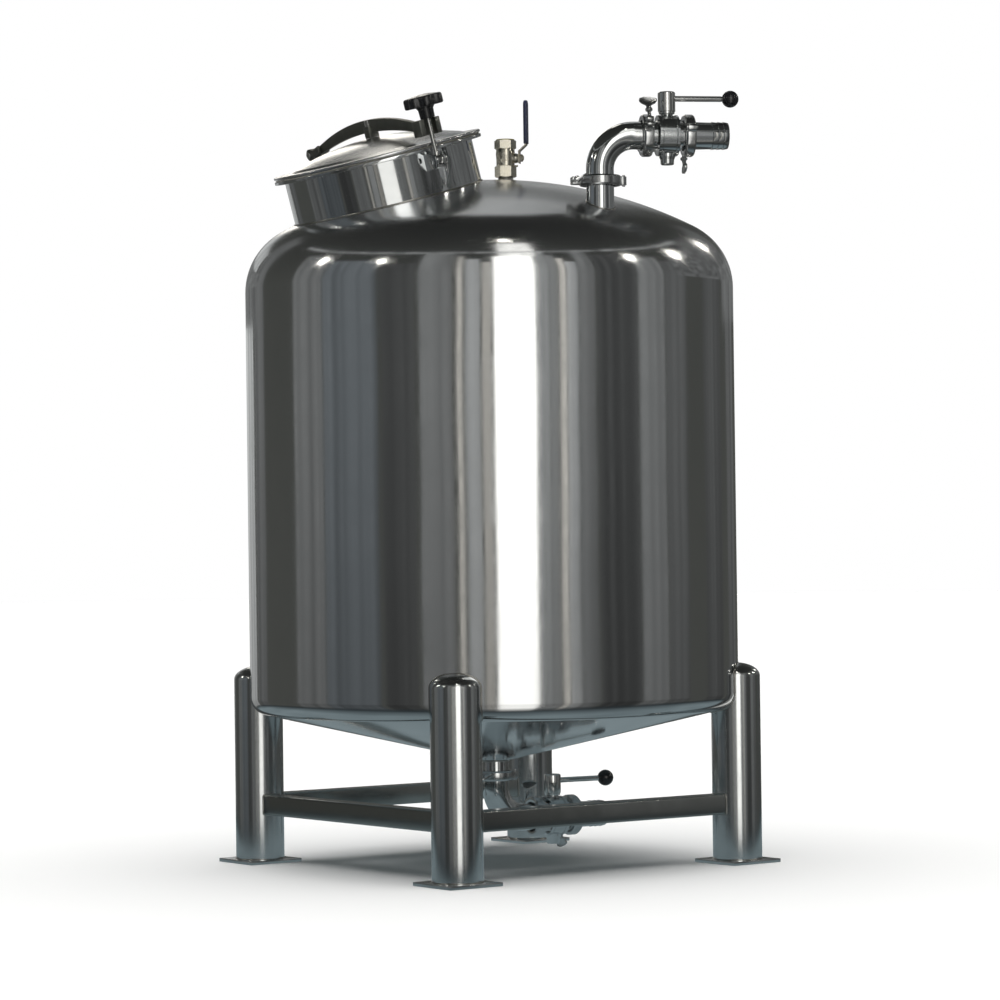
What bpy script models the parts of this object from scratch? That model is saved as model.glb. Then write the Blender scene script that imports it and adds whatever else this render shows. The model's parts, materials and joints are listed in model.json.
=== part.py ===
"""Stainless process tank: a dished and coned vessel on four tube legs.

Metres, +Z up. The origin is on the vessel's axis at floor level, and the legs stand on
the diagonals of X and Y. The manway is on the -X side, the inlet nozzle on the -Y side,
and the outlet runs out between the two legs on the +X side, where there is no brace.
"""
import math

import bmesh
import bpy
from mathutils import Matrix, Vector

GAP = 0.0003
SINK = 0.002

# Vessel
SHELL_RADIUS = 0.550
WALL = 0.004
TANK_SIDES = 48
CROWN_RADIUS = 1.020
HEAD_KNUCKLE = 0.150
HEAD_TANGENT = 1.288
CONE_SLOPE = math.radians(13.0)
CONE_TIP = 0.222
CONE_KNUCKLE = 0.040
KNUCKLE_STEPS = 4
CROWN_STEPS = 4

# Legs, foot plates and braces
LEG_RADIUS = 0.055
LEG_CIRCLE = 0.545
LEG_TOP = 0.446
LEG_CAP = 0.030
LEG_SIDES = 20
CAP_STEPS = 3
PLATE_SIDE = 0.136
PLATE_THICKNESS = 0.008
BRACE_SIDE = 0.045
BRACE_CENTRE = 0.1325

# Manway, in its own frame: origin on the head, +Z out along the neck, +Y to the clamp
MANWAY_AZIMUTH = math.radians(176.0)
MANWAY_TILT = math.radians(15.2)
NECK_RADIUS = 0.2125
NECK_WALL = 0.005
NECK_LOW = -0.060
NECK_SIDES = 32
FLANGE_RADIUS = 0.2345
NECK_FLANGE = (0.0724, 0.0794)
GASKET = (0.0797, 0.0823)
GASKET_WIDTH = 0.014
GASKET_INSET = 0.001
LID_RIM = (0.0826, 0.0893)
LID_DISH_RADIUS = 0.2035
LID_SHOULDER = (0.0120, 0.0075)
LID_SHOULDER_WALL = (0.0025, 0.0030)
LID_CROWN_EDGE = 0.165
LID_CROWN_RADIUS = 0.600
LID_TOP = 0.125
LID_WALL = 0.0035

# Manway hinge, seen in (y, z) of the manway's frame
HINGE_REACH = 0.265
HINGE_HEIGHT = 0.116
HINGE_EYE = 0.0135
HINGE_LUG_HALF = 0.008
HINGE_LUG_ROOT = (0.022, 0.070)
HINGE_LUG_TOE = 0.238
HINGE_LUG_WAIST = (0.240, 0.098)
HINGE_LUG_RIM = 0.228
PIN_RADIUS = 0.005
PIN_HOLE_RADIUS = 0.0056
PIN_SIDES = 12
PIN_HEAD_RADIUS = 0.008
PIN_HEAD_LENGTH = 0.003
PIN_PLAY = 0.0006

# Manway arm, an arched bar over the lid, with two cheeks at the hinge and a fork at its other end
ARM_HALF = 0.006
ARM_CREST = (-0.008, 0.1658)
ARM_SWEEP = 1.4
ARM_DEPTH = 0.0285
ARM_TAPER = 0.010
ARM_TAPER_REACH = 0.220
ARM_START = -0.243
ARM_END = 0.226
ARM_STEPS = 10
CHEEK = (0.009, 0.015)
CHEEK_START = -0.245
CHEEK_END = -0.221
CHEEK_JOIN = -0.227
BLOCK_HALF = (0.0120, 0.0115)
BLOCK_TOP = 0.151
FORK_HALF = 0.0268
FORK_REACH = (0.214, 0.247)
FORK_HEIGHT = (0.1050, 0.1408)
FORK_SLOT_HALF = 0.0148
FORK_SLOT_FROM = 0.228

# Manway swing bolt and knob
BOLT_REACH = 0.2425
BOLT_EYE_HEIGHT = 0.049
BOLT_RADIUS = 0.0058
BOLT_TOP = 0.178
BOLT_SIDES = 12
EYE_RADIUS = 0.0125
EYE_HALF = 0.0065
BOLT_LUG = (0.0085, 0.0150)
BOLT_LUG_RADIUS = 0.0175
BOLT_LUG_ROOT = (0.030, 0.066)
CROSS_PIN_RADIUS = 0.007
CROSS_PIN_PROUD = 0.004
KNOB_HUB_RADIUS = 0.017
KNOB_HUB = (0.1412, 0.1680)
KNOB_HEAD = (0.1670, 0.1905)
KNOB_RADIUS = 0.0437
KNOB_LOBES = 7
KNOB_STEPS = 6
KNOB_PHASE = math.radians(17.5)
KNOB_DIP = 0.007
KNOB_BORE = 0.0068

# Vent valve on a nipple near the top of the head
VENT_OFFSET = 0.068
VENT_BORE = 0.0120
VENT_NIPPLE_RADIUS = 0.0175
VENT_NIPPLE_TOP = 1.5395
VENT_PAD_RADIUS = 0.0260
VENT_PAD_RISE = 0.0030
VENT_PAD_EDGE = 0.0010
VENT_ROOT = 0.010
VENT_HEX_RADIUS = 0.0245
VENT_BODY_RADIUS = 0.0205
VENT_LOW_HEX = (1.5398, 1.5650)
VENT_HIGH_HEX = (1.6030, 1.6230)
VENT_HEX_TURN = math.radians(-126.0)
VENT_STEM_HEIGHT = 1.5820
VENT_STEM_AZIMUTH = math.radians(-50.0)
VENT_STEM_RADIUS = 0.0050
VENT_STEM_HOLE = 0.0057
VENT_CAVITY = 0.0185
VENT_BALL_RADIUS = 0.0168
VENT_BALL_PLAY = 0.0008
VENT_BOSS_RADIUS = 0.0110
VENT_BOSS_REACH = 0.0290
VENT_NUT_RADIUS = 0.0085
VENT_NUT_LENGTH = 0.0065
LEVER_NEAR = 0.0310
LEVER_FAR = 0.0480
LEVER_THICKNESS = 0.0025
LEVER_WIDTH = 0.018
LEVER_TAIL = 0.012
LEVER_BENDS = (1.598, 1.612)
LEVER_TOP = 1.706
SLEEVE_WIDTH = 0.023
SLEEVE_THICKNESS = 0.0075
SLEEVE_LOW = 1.613
SLEEVE_TOP = 1.7115

# Pipe fittings, alike at the inlet and the outlet
PIPE_RADIUS = 0.03015
PIPE_BORE = 0.0280
PIPE_SIDES = 16
NOZZLE_LENGTH = 0.085
LIP_RADIUS = 0.0385
LIP_THICKNESS = 0.0045
LIP_TAPER = 0.0020
ELBOW_REACH = 0.0985
BEND_RADIUS = 0.074
BEND_STEPS = 6
TAIL_LENGTH = 0.0870
INLET_OFFSET = 0.410
INLET_HEIGHT = 1.5985
INLET_AZIMUTH = math.radians(-28.0)
OUTLET_HEIGHT = 0.0965
OUTLET_AZIMUTH = math.radians(-7.0)

# Pipe clamps: a hinged ring, and a bolt through two ears with a wing nut
CLAMP_RADIUS = 0.046
CLAMP_HALF_WIDTH = 0.011
CLAMP_BORE = 0.0335
CLAMP_GROOVE = 0.0397
CLAMP_GROOVE_HALF = 0.0070
CLAMP_SPLIT = 0.002
CLAMP_EAR_ROOT = 0.0405
CLAMP_EAR_REACH = 0.064
CLAMP_EAR_HALF = 0.0085
CLAMP_EAR_THICKNESS = 0.009
CLAMP_KNUCKLE_RADIUS = 0.009
CLAMP_KNUCKLE_HALF = 0.0095
CLAMP_KNUCKLE_REACH = 0.049
CLAMP_BOLT_REACH = 0.0555
CLAMP_BOLT_RADIUS = 0.004
CLAMP_BOLT_LOW = -0.017
CLAMP_HEAD_RADIUS = 0.0065
CLAMP_HEAD = (-0.018, -0.010)
WING_HUB_RADIUS = 0.0075
WING_HUB = (0.030, 0.042)
WING_HALF_SPAN = 0.026
WING_TOP = 0.061
WING_THICKNESS = 0.005
WING_EDGE = (0.057, 0.050)
WING_CROTCH = (0.004, 0.047)
WING_SHOULDER = 0.0165
WING_ROOT = (0.006, 0.031)
NOZZLE_WING_TURN = math.radians(117.0)
ELBOW_EAR_TURN = math.radians(115.0)
ELBOW_WING_TURN = math.radians(-38.0)
HOSE_EAR_TURN = math.radians(75.0)
HOSE_WING_TURN = math.radians(90.0)

# Butterfly valves and their handles
VALVE_START = 0.1025
VALVE_LENGTH = 0.0925
VALVE_HALF_WIDTH = 0.0225
VALVE_FLANGE_RADIUS = 0.0445
VALVE_FLANGE_THICKNESS = 0.007
VALVE_DRUM_RADIUS = 0.0370
VALVE_NECK_RADIUS = 0.0148
VALVE_NECK = (0.0300, 0.0465)
VALVE_BOSS_RADIUS = 0.0145
VALVE_BOSS = (-0.0300, -0.0635)
STEM_RADIUS = 0.0060
STEM_HOLE = 0.0068
STEM_HOLE_HEIGHTS = (0.010, 0.060)
DISC_RADIUS = 0.0262
DISC_THICKNESS = 0.004
HUB_RADIUS = 0.0190
HUB = (0.0470, 0.0949)
ROD_RADIUS = 0.0062
ROD_HEIGHT = 0.0803
ROD_SIDES = 10
BALL_REACH = 0.1412
BALL_RADIUS = 0.0184
BALL_STEPS = 7
BALL_SIDES = 12

# Frames: a plate drawn in (y, z) with its thickness along x, and a turned piece laid along x
UPRIGHT = Matrix(((0, 0, 1, 0), (1, 0, 0, 0), (0, 1, 0, 0), (0, 0, 0, 1)))
ALONG_X = Matrix.Rotation(math.radians(90.0), 4, "Y")
FLIP = Matrix.Rotation(math.pi, 4, "X")


def new_collection(name):
    group = bpy.data.collections.new(name)
    bpy.context.scene.collection.children.link(group)
    return group


def material(name, colour, roughness, metallic):
    made = bpy.data.materials.new(name)
    made.use_nodes = True
    shader = made.node_tree.nodes["Principled BSDF"]
    shader.inputs["Base Color"].default_value = (*colour, 1.0)
    shader.inputs["Roughness"].default_value = roughness
    shader.inputs["Metallic"].default_value = metallic
    made.diffuse_color = (*colour, 1.0)
    return made


def place(name, mesh, frame):
    piece = bpy.data.objects.new(name, mesh)
    PARTS.objects.link(piece)
    piece.matrix_world = frame
    return piece


def from_bmesh(name, bm, frame):
    mesh = bpy.data.meshes.new(name)
    bmesh.ops.recalc_face_normals(bm, faces=bm.faces)
    bm.to_mesh(mesh)
    bm.free()
    return place(name, mesh, frame)


def box(name, low, high, frame=Matrix()):
    bm = bmesh.new()
    low, high = Vector(low), Vector(high)
    bmesh.ops.create_cube(bm, size=1.0)
    bmesh.ops.scale(bm, vec=high - low, verts=bm.verts)
    bmesh.ops.translate(bm, vec=(low + high) / 2, verts=bm.verts)
    return from_bmesh(name, bm, frame)


def cylinder(name, radius, start, end, frame=Matrix(), sides=16, turn=0.0):
    """A closed cylinder between two points of a frame."""
    bm = bmesh.new()
    start, end = Vector(start), Vector(end)
    along = end - start
    aim = along.to_track_quat("Z", "Y").to_matrix().to_4x4()
    seat = Matrix.Translation((start + end) / 2) @ aim @ Matrix.Rotation(turn, 4, "Z")
    bmesh.ops.create_cone(bm, cap_ends=True, segments=sides, radius1=radius, radius2=radius,
                          depth=along.length, matrix=seat)
    return from_bmesh(name, bm, frame)


def turned(name, profile, frame=Matrix(), sides=PIPE_SIDES, closed=True):
    """A turned shape from (radius, height) points that run down its outer side."""
    mesh = bpy.data.meshes.new(name)
    edges = [(i, i + 1) for i in range(len(profile) - 1)]
    if closed:
        edges.append((len(profile) - 1, 0))
    mesh.from_pydata([(radius, 0.0, height) for radius, height in profile], edges, [])
    piece = place(name, mesh, frame)
    screw = piece.modifiers.new("Screw", "SCREW")
    screw.steps = sides
    screw.render_steps = sides
    screw.use_merge_vertices = True
    screw.merge_threshold = 0.00001
    return piece


def plate(name, outline, low, high, frame=Matrix()):
    """A flat outline in (x, y) with its thickness from low to high along z."""
    curve = bpy.data.curves.new(name, "CURVE")
    curve.dimensions = "2D"
    curve.fill_mode = "BOTH"
    curve.extrude = (high - low) / 2
    spline = curve.splines.new("POLY")
    spline.points.add(len(outline) - 1)
    for point, (x, y) in zip(spline.points, outline):
        point.co = (x, y, 0.0, 1.0)
    spline.use_cyclic_u = True
    drawn = place(name, curve, frame @ Matrix.Translation((0, 0, (low + high) / 2)))
    return as_mesh(drawn)


def as_mesh(drawn):
    """Replace a drawn object by a plain mesh object with welded caps."""
    bpy.context.view_layer.update()
    graph = bpy.context.evaluated_depsgraph_get()
    mesh = bpy.data.meshes.new_from_object(drawn.evaluated_get(graph))
    bm = bmesh.new()
    bm.from_mesh(mesh)
    bmesh.ops.remove_doubles(bm, verts=bm.verts, dist=0.000005)
    bmesh.ops.recalc_face_normals(bm, faces=bm.faces)
    bm.to_mesh(mesh)
    bm.free()
    name = drawn.name
    frame = drawn.matrix_world.copy()
    bpy.data.objects.remove(drawn)
    return place(name, mesh, frame)


def shape(piece, operation, *tools):
    """Join tools to a piece or cut them from it, and keep the tools as hidden cutters."""
    for tool in tools:
        if tool.name in PARTS.objects:
            PARTS.objects.unlink(tool)
            CUTTERS.objects.link(tool)
            tool.name = "cutter_" + tool.name
            tool.hide_render = True
            tool.display_type = "WIRE"
        step = piece.modifiers.new(operation.title(), "BOOLEAN")
        step.operation = operation
        step.object = tool
    return piece


def settle(name, piece, finish):
    """Fix a piece's modifiers in its mesh, name it, and shade its round faces smooth."""
    bpy.context.view_layer.update()
    graph = bpy.context.evaluated_depsgraph_get()
    mesh = bpy.data.meshes.new_from_object(piece.evaluated_get(graph))
    piece.modifiers.clear()
    piece.data = mesh
    piece.name = name
    mesh.name = name
    mesh.materials.clear()
    mesh.materials.append(finish)
    mesh.shade_smooth()
    mesh.set_sharp_from_angle(angle=math.radians(32.0))
    return piece


def axis_empty(name, frame):
    empty = bpy.data.objects.new(name, None)
    empty.empty_display_size = 0.05
    PARTS.objects.link(empty)
    empty.matrix_world = frame
    return empty


def hang(empty, *pieces):
    """Parent pieces to the empty on their joint's axis, where they are."""
    bpy.context.view_layer.update()
    for piece in pieces:
        piece.parent = empty
        piece.matrix_parent_inverse = empty.matrix_world.inverted()


def arc(centre, radius, start, end, steps):
    """Points on an arc, from a start angle to an end angle in degrees."""
    x, y = centre
    angles = [math.radians(start + (end - start) * i / steps) for i in range(steps + 1)]
    return [(x + radius * math.cos(a), y + radius * math.sin(a)) for a in angles]


# Vessel

def head_centre():
    """Height of the crown's centre, where crown and knuckle share a tangent."""
    reach = CROWN_RADIUS - HEAD_KNUCKLE
    return HEAD_TANGENT - math.sqrt(reach ** 2 - (SHELL_RADIUS - HEAD_KNUCKLE) ** 2)


def head_height(radius):
    return head_centre() + math.sqrt(CROWN_RADIUS ** 2 - radius ** 2)


def head_line(offset):
    """The head's profile from its top on the axis to the shell, moved out by an offset."""
    meet = math.degrees(math.acos((SHELL_RADIUS - HEAD_KNUCKLE) / (CROWN_RADIUS - HEAD_KNUCKLE)))
    crown = arc((0.0, head_centre()), CROWN_RADIUS + offset, 90.0, meet, CROWN_STEPS)
    knuckle = arc((SHELL_RADIUS - HEAD_KNUCKLE, HEAD_TANGENT), HEAD_KNUCKLE + offset,
                  meet, 0.0, KNUCKLE_STEPS)
    return [(0.0, crown[0][1])] + crown[1:] + knuckle[1:]


def base_tangent():
    """Height where the shell meets the bottom knuckle."""
    centre_radius = SHELL_RADIUS - CONE_KNUCKLE
    return CONE_TIP + centre_radius * math.tan(CONE_SLOPE) + CONE_KNUCKLE / math.cos(CONE_SLOPE)


def cone_line(offset, end_radius):
    """The bottom's profile from the shell, round the knuckle and in along the cone."""
    turn = math.degrees(CONE_SLOPE) - 90.0
    knuckle = arc((SHELL_RADIUS - CONE_KNUCKLE, base_tangent()), CONE_KNUCKLE + offset,
                  0.0, turn, KNUCKLE_STEPS)
    tip = CONE_TIP - offset / math.cos(CONE_SLOPE)
    return knuckle + [(end_radius, tip + end_radius * math.tan(CONE_SLOPE))]


def vessel_solid(offset):
    """The whole vessel as one solid, for cutting what is welded on to it."""
    outline = head_line(offset) + cone_line(offset, 0.0)
    return turned("vessel_solid", outline, sides=TANK_SIDES, closed=False)


def shell_wall(name, start):
    """A quarter of the rolled shell, from a leg's diagonal to the next."""
    bm = bmesh.new()
    low, high = base_tangent() + GAP, HEAD_TANGENT - GAP
    seam = GAP / SHELL_RADIUS
    first = start + seam / 2
    bmesh.ops.create_grid(bm, x_segments=1, y_segments=1, size=0.5)
    bmesh.ops.scale(bm, vec=(WALL, high - low, 1.0), verts=bm.verts)
    bmesh.ops.rotate(bm, matrix=Matrix.Rotation(math.radians(90.0), 3, "X"), verts=bm.verts)
    bmesh.ops.translate(bm, vec=(SHELL_RADIUS - WALL / 2, 0, (low + high) / 2), verts=bm.verts)
    bmesh.ops.rotate(bm, matrix=Matrix.Rotation(first, 3, "Z"), verts=bm.verts)
    bmesh.ops.spin(bm, geom=bm.verts[:] + bm.edges[:] + bm.faces[:], axis=(0, 0, 1),
                   angle=math.radians(90.0) - seam, steps=TANK_SIDES // 4)
    return settle(name, from_bmesh(name, bm, Matrix()), STEEL)


def top_head():
    outline = head_line(0.0) + head_line(-WALL)[::-1]
    head = turned("head", outline, sides=TANK_SIDES, closed=False)
    manhole = cylinder("manhole", NECK_RADIUS - NECK_WALL, (0, 0, -NECK_RADIUS),
                       (0, 0, NECK_FLANGE[1]), manway_frame(), NECK_SIDES)
    inlet = cylinder("inlet_hole", PIPE_BORE, (0, -INLET_OFFSET, HEAD_TANGENT),
                     (0, -INLET_OFFSET, INLET_HEIGHT))
    vent = cylinder("vent_hole", VENT_BORE, (0, -VENT_OFFSET, HEAD_TANGENT),
                    (0, -VENT_OFFSET, VENT_STEM_HEIGHT))
    shape(head, "DIFFERENCE", manhole, inlet, vent)
    return settle("top_head", head, STEEL)


def bottom_cone():
    outline = cone_line(0.0, PIPE_BORE) + cone_line(-WALL, PIPE_BORE)[::-1]
    return settle("bottom_cone", turned("cone", outline, sides=TANK_SIDES), STEEL)


# Legs

def leg_places():
    reach = LEG_CIRCLE * math.sqrt(0.5)
    return {"front_left": (-reach, -reach), "front_right": (reach, -reach),
            "back_right": (reach, reach), "back_left": (-reach, reach)}


def leg(side, spot, vessel):
    frame = Matrix.Translation((*spot, 0.0))
    cap = [(LEG_RADIUS * math.sin(math.radians(90.0 * i / CAP_STEPS)),
            LEG_TOP - LEG_CAP + LEG_CAP * math.cos(math.radians(90.0 * i / CAP_STEPS)))
           for i in range(CAP_STEPS + 1)]
    foot = PLATE_THICKNESS + GAP
    outline = cap + [(LEG_RADIUS, foot), (0.0, foot)]
    tube = turned("tube", outline, frame, LEG_SIDES, closed=False)
    shape(tube, "DIFFERENCE", vessel)
    settle("leg_" + side, tube, LEG_STEEL)
    half = PLATE_SIDE / 2
    base = box("base", (-half, -half, 0.0), (half, half, PLATE_THICKNESS), frame)
    settle("foot_plate_" + side, base, LEG_STEEL)


def brace(name, start, end):
    """A square tube between two legs, notched round both."""
    start, end = Vector((*start, BRACE_CENTRE)), Vector((*end, BRACE_CENTRE))
    along = end - start
    frame = Matrix.Translation(start) @ along.to_track_quat("X", "Z").to_matrix().to_4x4()
    half = BRACE_SIDE / 2
    bar = box("bar", (0.0, -half, -half), (along.length, half, half), frame)
    radius = LEG_RADIUS + GAP
    outline = [(0.0, LEG_TOP), (radius, LEG_TOP), (radius, 0.0), (0.0, 0.0)]
    for spot in (start, end):
        seat = Matrix.Translation((spot.x, spot.y, 0.0))
        shape(bar, "DIFFERENCE", turned("leg_round", outline, seat, LEG_SIDES, closed=False))
    settle(name, bar, LEG_STEEL)


# Manway

def manway_frame():
    """The frame on the head's outside: +Z out along the neck, +Y to the clamp."""
    turn = Matrix.Rotation(MANWAY_AZIMUTH, 4, "Z") @ Matrix.Rotation(MANWAY_TILT, 4, "Y")
    centre = Matrix.Translation((0.0, 0.0, head_centre()))
    return centre @ turn @ Matrix.Translation((0.0, 0.0, CROWN_RADIUS))


def across(name, radius, half, reach, height, sides=PIN_SIDES):
    """A round bar square to the manway's (y, z) plane, such as a pin or its hole."""
    return cylinder(name, radius, (-half, reach, height), (half, reach, height),
                    manway_frame(), sides)


def hinge_lug():
    """The upright lug on the back of the neck that carries the hinge pin."""
    wall = NECK_RADIUS - NECK_WALL / 2
    low, high = HINGE_LUG_ROOT
    waist, throat = HINGE_LUG_WAIST
    top = NECK_FLANGE[1]
    eye = arc((-HINGE_REACH, HINGE_HEIGHT), HINGE_EYE, 200.0, -10.0, 6)
    outline = [(-wall, high), (-wall, low), (-HINGE_LUG_TOE, low)] + eye
    outline += [(-waist, throat), (-waist, top), (-HINGE_LUG_RIM, top)]
    return plate("hinge_lug", outline, -HINGE_LUG_HALF, HINGE_LUG_HALF, manway_frame() @ UPRIGHT)


def bolt_lug(side):
    """One of the two lugs on the front of the neck, with its end of the cross pin."""
    wall = NECK_RADIUS - NECK_WALL / 2
    low, high = BOLT_LUG_ROOT
    near, far = BOLT_LUG
    nose = arc((BOLT_REACH, BOLT_EYE_HEIGHT), BOLT_LUG_RADIUS, -90.0, 90.0, 6)
    from_x, to_x = sorted((side * near, side * far))
    ear = plate("bolt_lug", [(wall, low)] + nose + [(wall, high)], from_x, to_x,
                manway_frame() @ UPRIGHT)
    start = (side * (far - SINK), BOLT_REACH, BOLT_EYE_HEIGHT)
    end = (side * (far + CROSS_PIN_PROUD), BOLT_REACH, BOLT_EYE_HEIGHT)
    return ear, cylinder("cross_pin", CROSS_PIN_RADIUS, start, end, manway_frame(), PIN_SIDES)


def manway_neck(vessel):
    bore = NECK_RADIUS - NECK_WALL
    low, top = NECK_FLANGE
    outline = [(bore, top), (FLANGE_RADIUS, top), (FLANGE_RADIUS, low), (NECK_RADIUS, low),
               (NECK_RADIUS, NECK_LOW), (bore, NECK_LOW)]
    neck = turned("neck", outline, manway_frame(), NECK_SIDES)
    shape(neck, "DIFFERENCE", vessel)
    shape(neck, "UNION", hinge_lug(), *bolt_lug(-1), *bolt_lug(1))
    hole = across("pin_hole", PIN_HOLE_RADIUS, HINGE_LUG_HALF + SINK, -HINGE_REACH, HINGE_HEIGHT)
    shape(neck, "DIFFERENCE", hole)
    return settle("manway_neck", neck, STEEL)


def manway_gasket():
    low, top = GASKET
    inner, outer = FLANGE_RADIUS - GASKET_WIDTH, FLANGE_RADIUS - GASKET_INSET
    outline = [(inner, top), (outer, top), (outer, low), (inner, low)]
    ring = turned("ring", outline, manway_frame(), NECK_SIDES)
    return settle("manway_gasket", ring, RUBBER)


def manway_pin():
    """The hinge pin with a round head at both ends."""
    seat = Matrix.Translation((0, -HINGE_REACH, HINGE_HEIGHT)) @ ALONG_X
    far = CHEEK[1] + PIN_PLAY
    tip = far + PIN_HEAD_LENGTH
    head = [(0.0, tip), (PIN_HEAD_RADIUS, tip), (PIN_HEAD_RADIUS, far), (PIN_RADIUS, far)]
    outline = head + [(radius, -height) for radius, height in reversed(head)]
    pin = turned("pin", outline, manway_frame() @ seat, PIN_SIDES, closed=False)
    return settle("manway_hinge_pin", pin, BRIGHT)


def lid_line(offset):
    """The lid's dished profile, from its top out to the shoulder over the rim."""
    centre = LID_TOP - LID_CROWN_RADIUS
    edge = math.degrees(math.acos(LID_CROWN_EDGE / LID_CROWN_RADIUS))
    crown = arc((0.0, centre), LID_CROWN_RADIUS + offset, 90.0, edge, CROWN_STEPS)
    return [(0.0, crown[0][1])] + crown[1:]


def manway_lid():
    low, top = LID_RIM
    crown, inner = lid_line(0.0), lid_line(-LID_WALL)
    inward, down = LID_SHOULDER
    shoulder = Vector((LID_DISH_RADIUS - inward, crown[-1][1] - down))
    under = shoulder - Vector(LID_SHOULDER_WALL)
    rim = [(LID_DISH_RADIUS, top), (FLANGE_RADIUS, top), (FLANGE_RADIUS, low),
           (LID_DISH_RADIUS - LID_WALL, low)]
    outline = crown + [tuple(shoulder)] + rim + [tuple(under)] + inner[::-1]
    lid = turned("lid", outline, manway_frame(), NECK_SIDES, closed=False)
    return settle("manway_lid", lid, STEEL)


def arm_top(y):
    crest_y, crest_z = ARM_CREST
    return crest_z - (y - crest_y) ** 2 / ARM_SWEEP


def arm_depth(y):
    """Depth of the arm, which is slimmer towards both ends."""
    return ARM_DEPTH - ARM_TAPER * (y / ARM_TAPER_REACH) ** 2


def arm_side(start, end, steps):
    """The arched side of the arm in (y, z), from a start to an end."""
    reach = [start + (end - start) * i / steps for i in range(steps + 1)]
    under = [(y, arm_top(y) - arm_depth(y)) for y in reach]
    return under + [(y, arm_top(y)) for y in reversed(reach)]


def manway_arm():
    """An arched bar with a block on the lid, a fork at one end and two hinge cheeks at the other."""
    frame = manway_frame()
    side_on = frame @ UPRIGHT
    arm = plate("bar", arm_side(ARM_START, ARM_END, ARM_STEPS), -ARM_HALF, ARM_HALF, side_on)
    near, far = CHEEK
    eye = arc((-HINGE_REACH, HINGE_HEIGHT), HINGE_EYE, 55.0, 290.0, 8)
    cheek = arm_side(CHEEK_START, CHEEK_END, 1) + eye
    right = plate("cheek", cheek, near, far, side_on)
    left = plate("cheek", cheek, -far, -near, side_on)
    join = plate("join", arm_side(ARM_START, CHEEK_JOIN, 1), -near - SINK, near + SINK, side_on)
    half_x, half_y = BLOCK_HALF
    block = box("block", (-half_x, -half_y, LID_TOP + GAP), (half_x, half_y, BLOCK_TOP), frame)
    low, top = FORK_HEIGHT
    fork = box("fork", (-FORK_HALF, FORK_REACH[0], low), (FORK_HALF, FORK_REACH[1], top), frame)
    shape(arm, "UNION", join, right, left, block, fork)
    slot = box("slot", (-FORK_SLOT_HALF, FORK_SLOT_FROM, low - SINK),
               (FORK_SLOT_HALF, FORK_REACH[1] + SINK, top + SINK), frame)
    hole = across("arm_hole", PIN_HOLE_RADIUS, far + SINK, -HINGE_REACH, HINGE_HEIGHT)
    shape(arm, "DIFFERENCE", slot, hole)
    return settle("manway_arm", arm, DARK_STEEL)


def manway_bolt():
    """The swing bolt: a stud on an eye that sits between the neck's two lugs."""
    stud = cylinder("stud", BOLT_RADIUS, (0, BOLT_REACH, BOLT_EYE_HEIGHT),
                    (0, BOLT_REACH, BOLT_TOP), manway_frame(), BOLT_SIDES)
    eye = across("eye", EYE_RADIUS, EYE_HALF, BOLT_REACH, BOLT_EYE_HEIGHT, PIPE_SIDES)
    return settle("manway_bolt", shape(stud, "UNION", eye), BRIGHT)


def manway_knob():
    """A lobed hand knob on a hub that bears on the arm's fork."""
    frame = manway_frame() @ Matrix.Translation((0, BOLT_REACH, 0))
    steps = KNOB_LOBES * KNOB_STEPS
    outline = []
    for i in range(steps):
        angle = math.tau * i / steps
        dip = KNOB_DIP / 2 * (1.0 - math.cos(KNOB_LOBES * (angle - KNOB_PHASE)))
        radius = KNOB_RADIUS - dip
        outline.append((radius * math.cos(angle), radius * math.sin(angle)))
    head = plate("star", outline, *KNOB_HEAD, frame)
    hub = cylinder("hub", KNOB_HUB_RADIUS, (0, 0, KNOB_HUB[0]), (0, 0, KNOB_HUB[1]), frame)
    bore = cylinder("bore", KNOB_BORE, (0, 0, KNOB_HUB[0] - SINK), (0, 0, BOLT_TOP + GAP),
                    frame, BOLT_SIDES)
    shape(head, "UNION", hub)
    shape(head, "DIFFERENCE", bore)
    return settle("manway_knob", head, BLACK)


# Vent valve

def vent_frame():
    return Matrix.Translation((0, -VENT_OFFSET, 0))


def stem_frame():
    """+X out along the vent valve's stem, +Z up."""
    seat = Matrix.Translation((0, -VENT_OFFSET, VENT_STEM_HEIGHT))
    return seat @ Matrix.Rotation(VENT_STEM_AZIMUTH, 4, "Z")


def vent_nipple(vessel):
    """A threaded nipple on a round weld pad."""
    base = head_height(VENT_OFFSET)
    pad, root = base + VENT_PAD_RISE, base - VENT_ROOT
    outline = [(VENT_BORE, VENT_NIPPLE_TOP), (VENT_NIPPLE_RADIUS, VENT_NIPPLE_TOP),
               (VENT_NIPPLE_RADIUS, pad + VENT_PAD_EDGE), (VENT_PAD_RADIUS, pad - VENT_PAD_EDGE),
               (VENT_PAD_RADIUS, root), (VENT_BORE, root)]
    nipple = turned("nipple", outline, vent_frame())
    return settle("vent_nipple", shape(nipple, "DIFFERENCE", vessel), STEEL)


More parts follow.
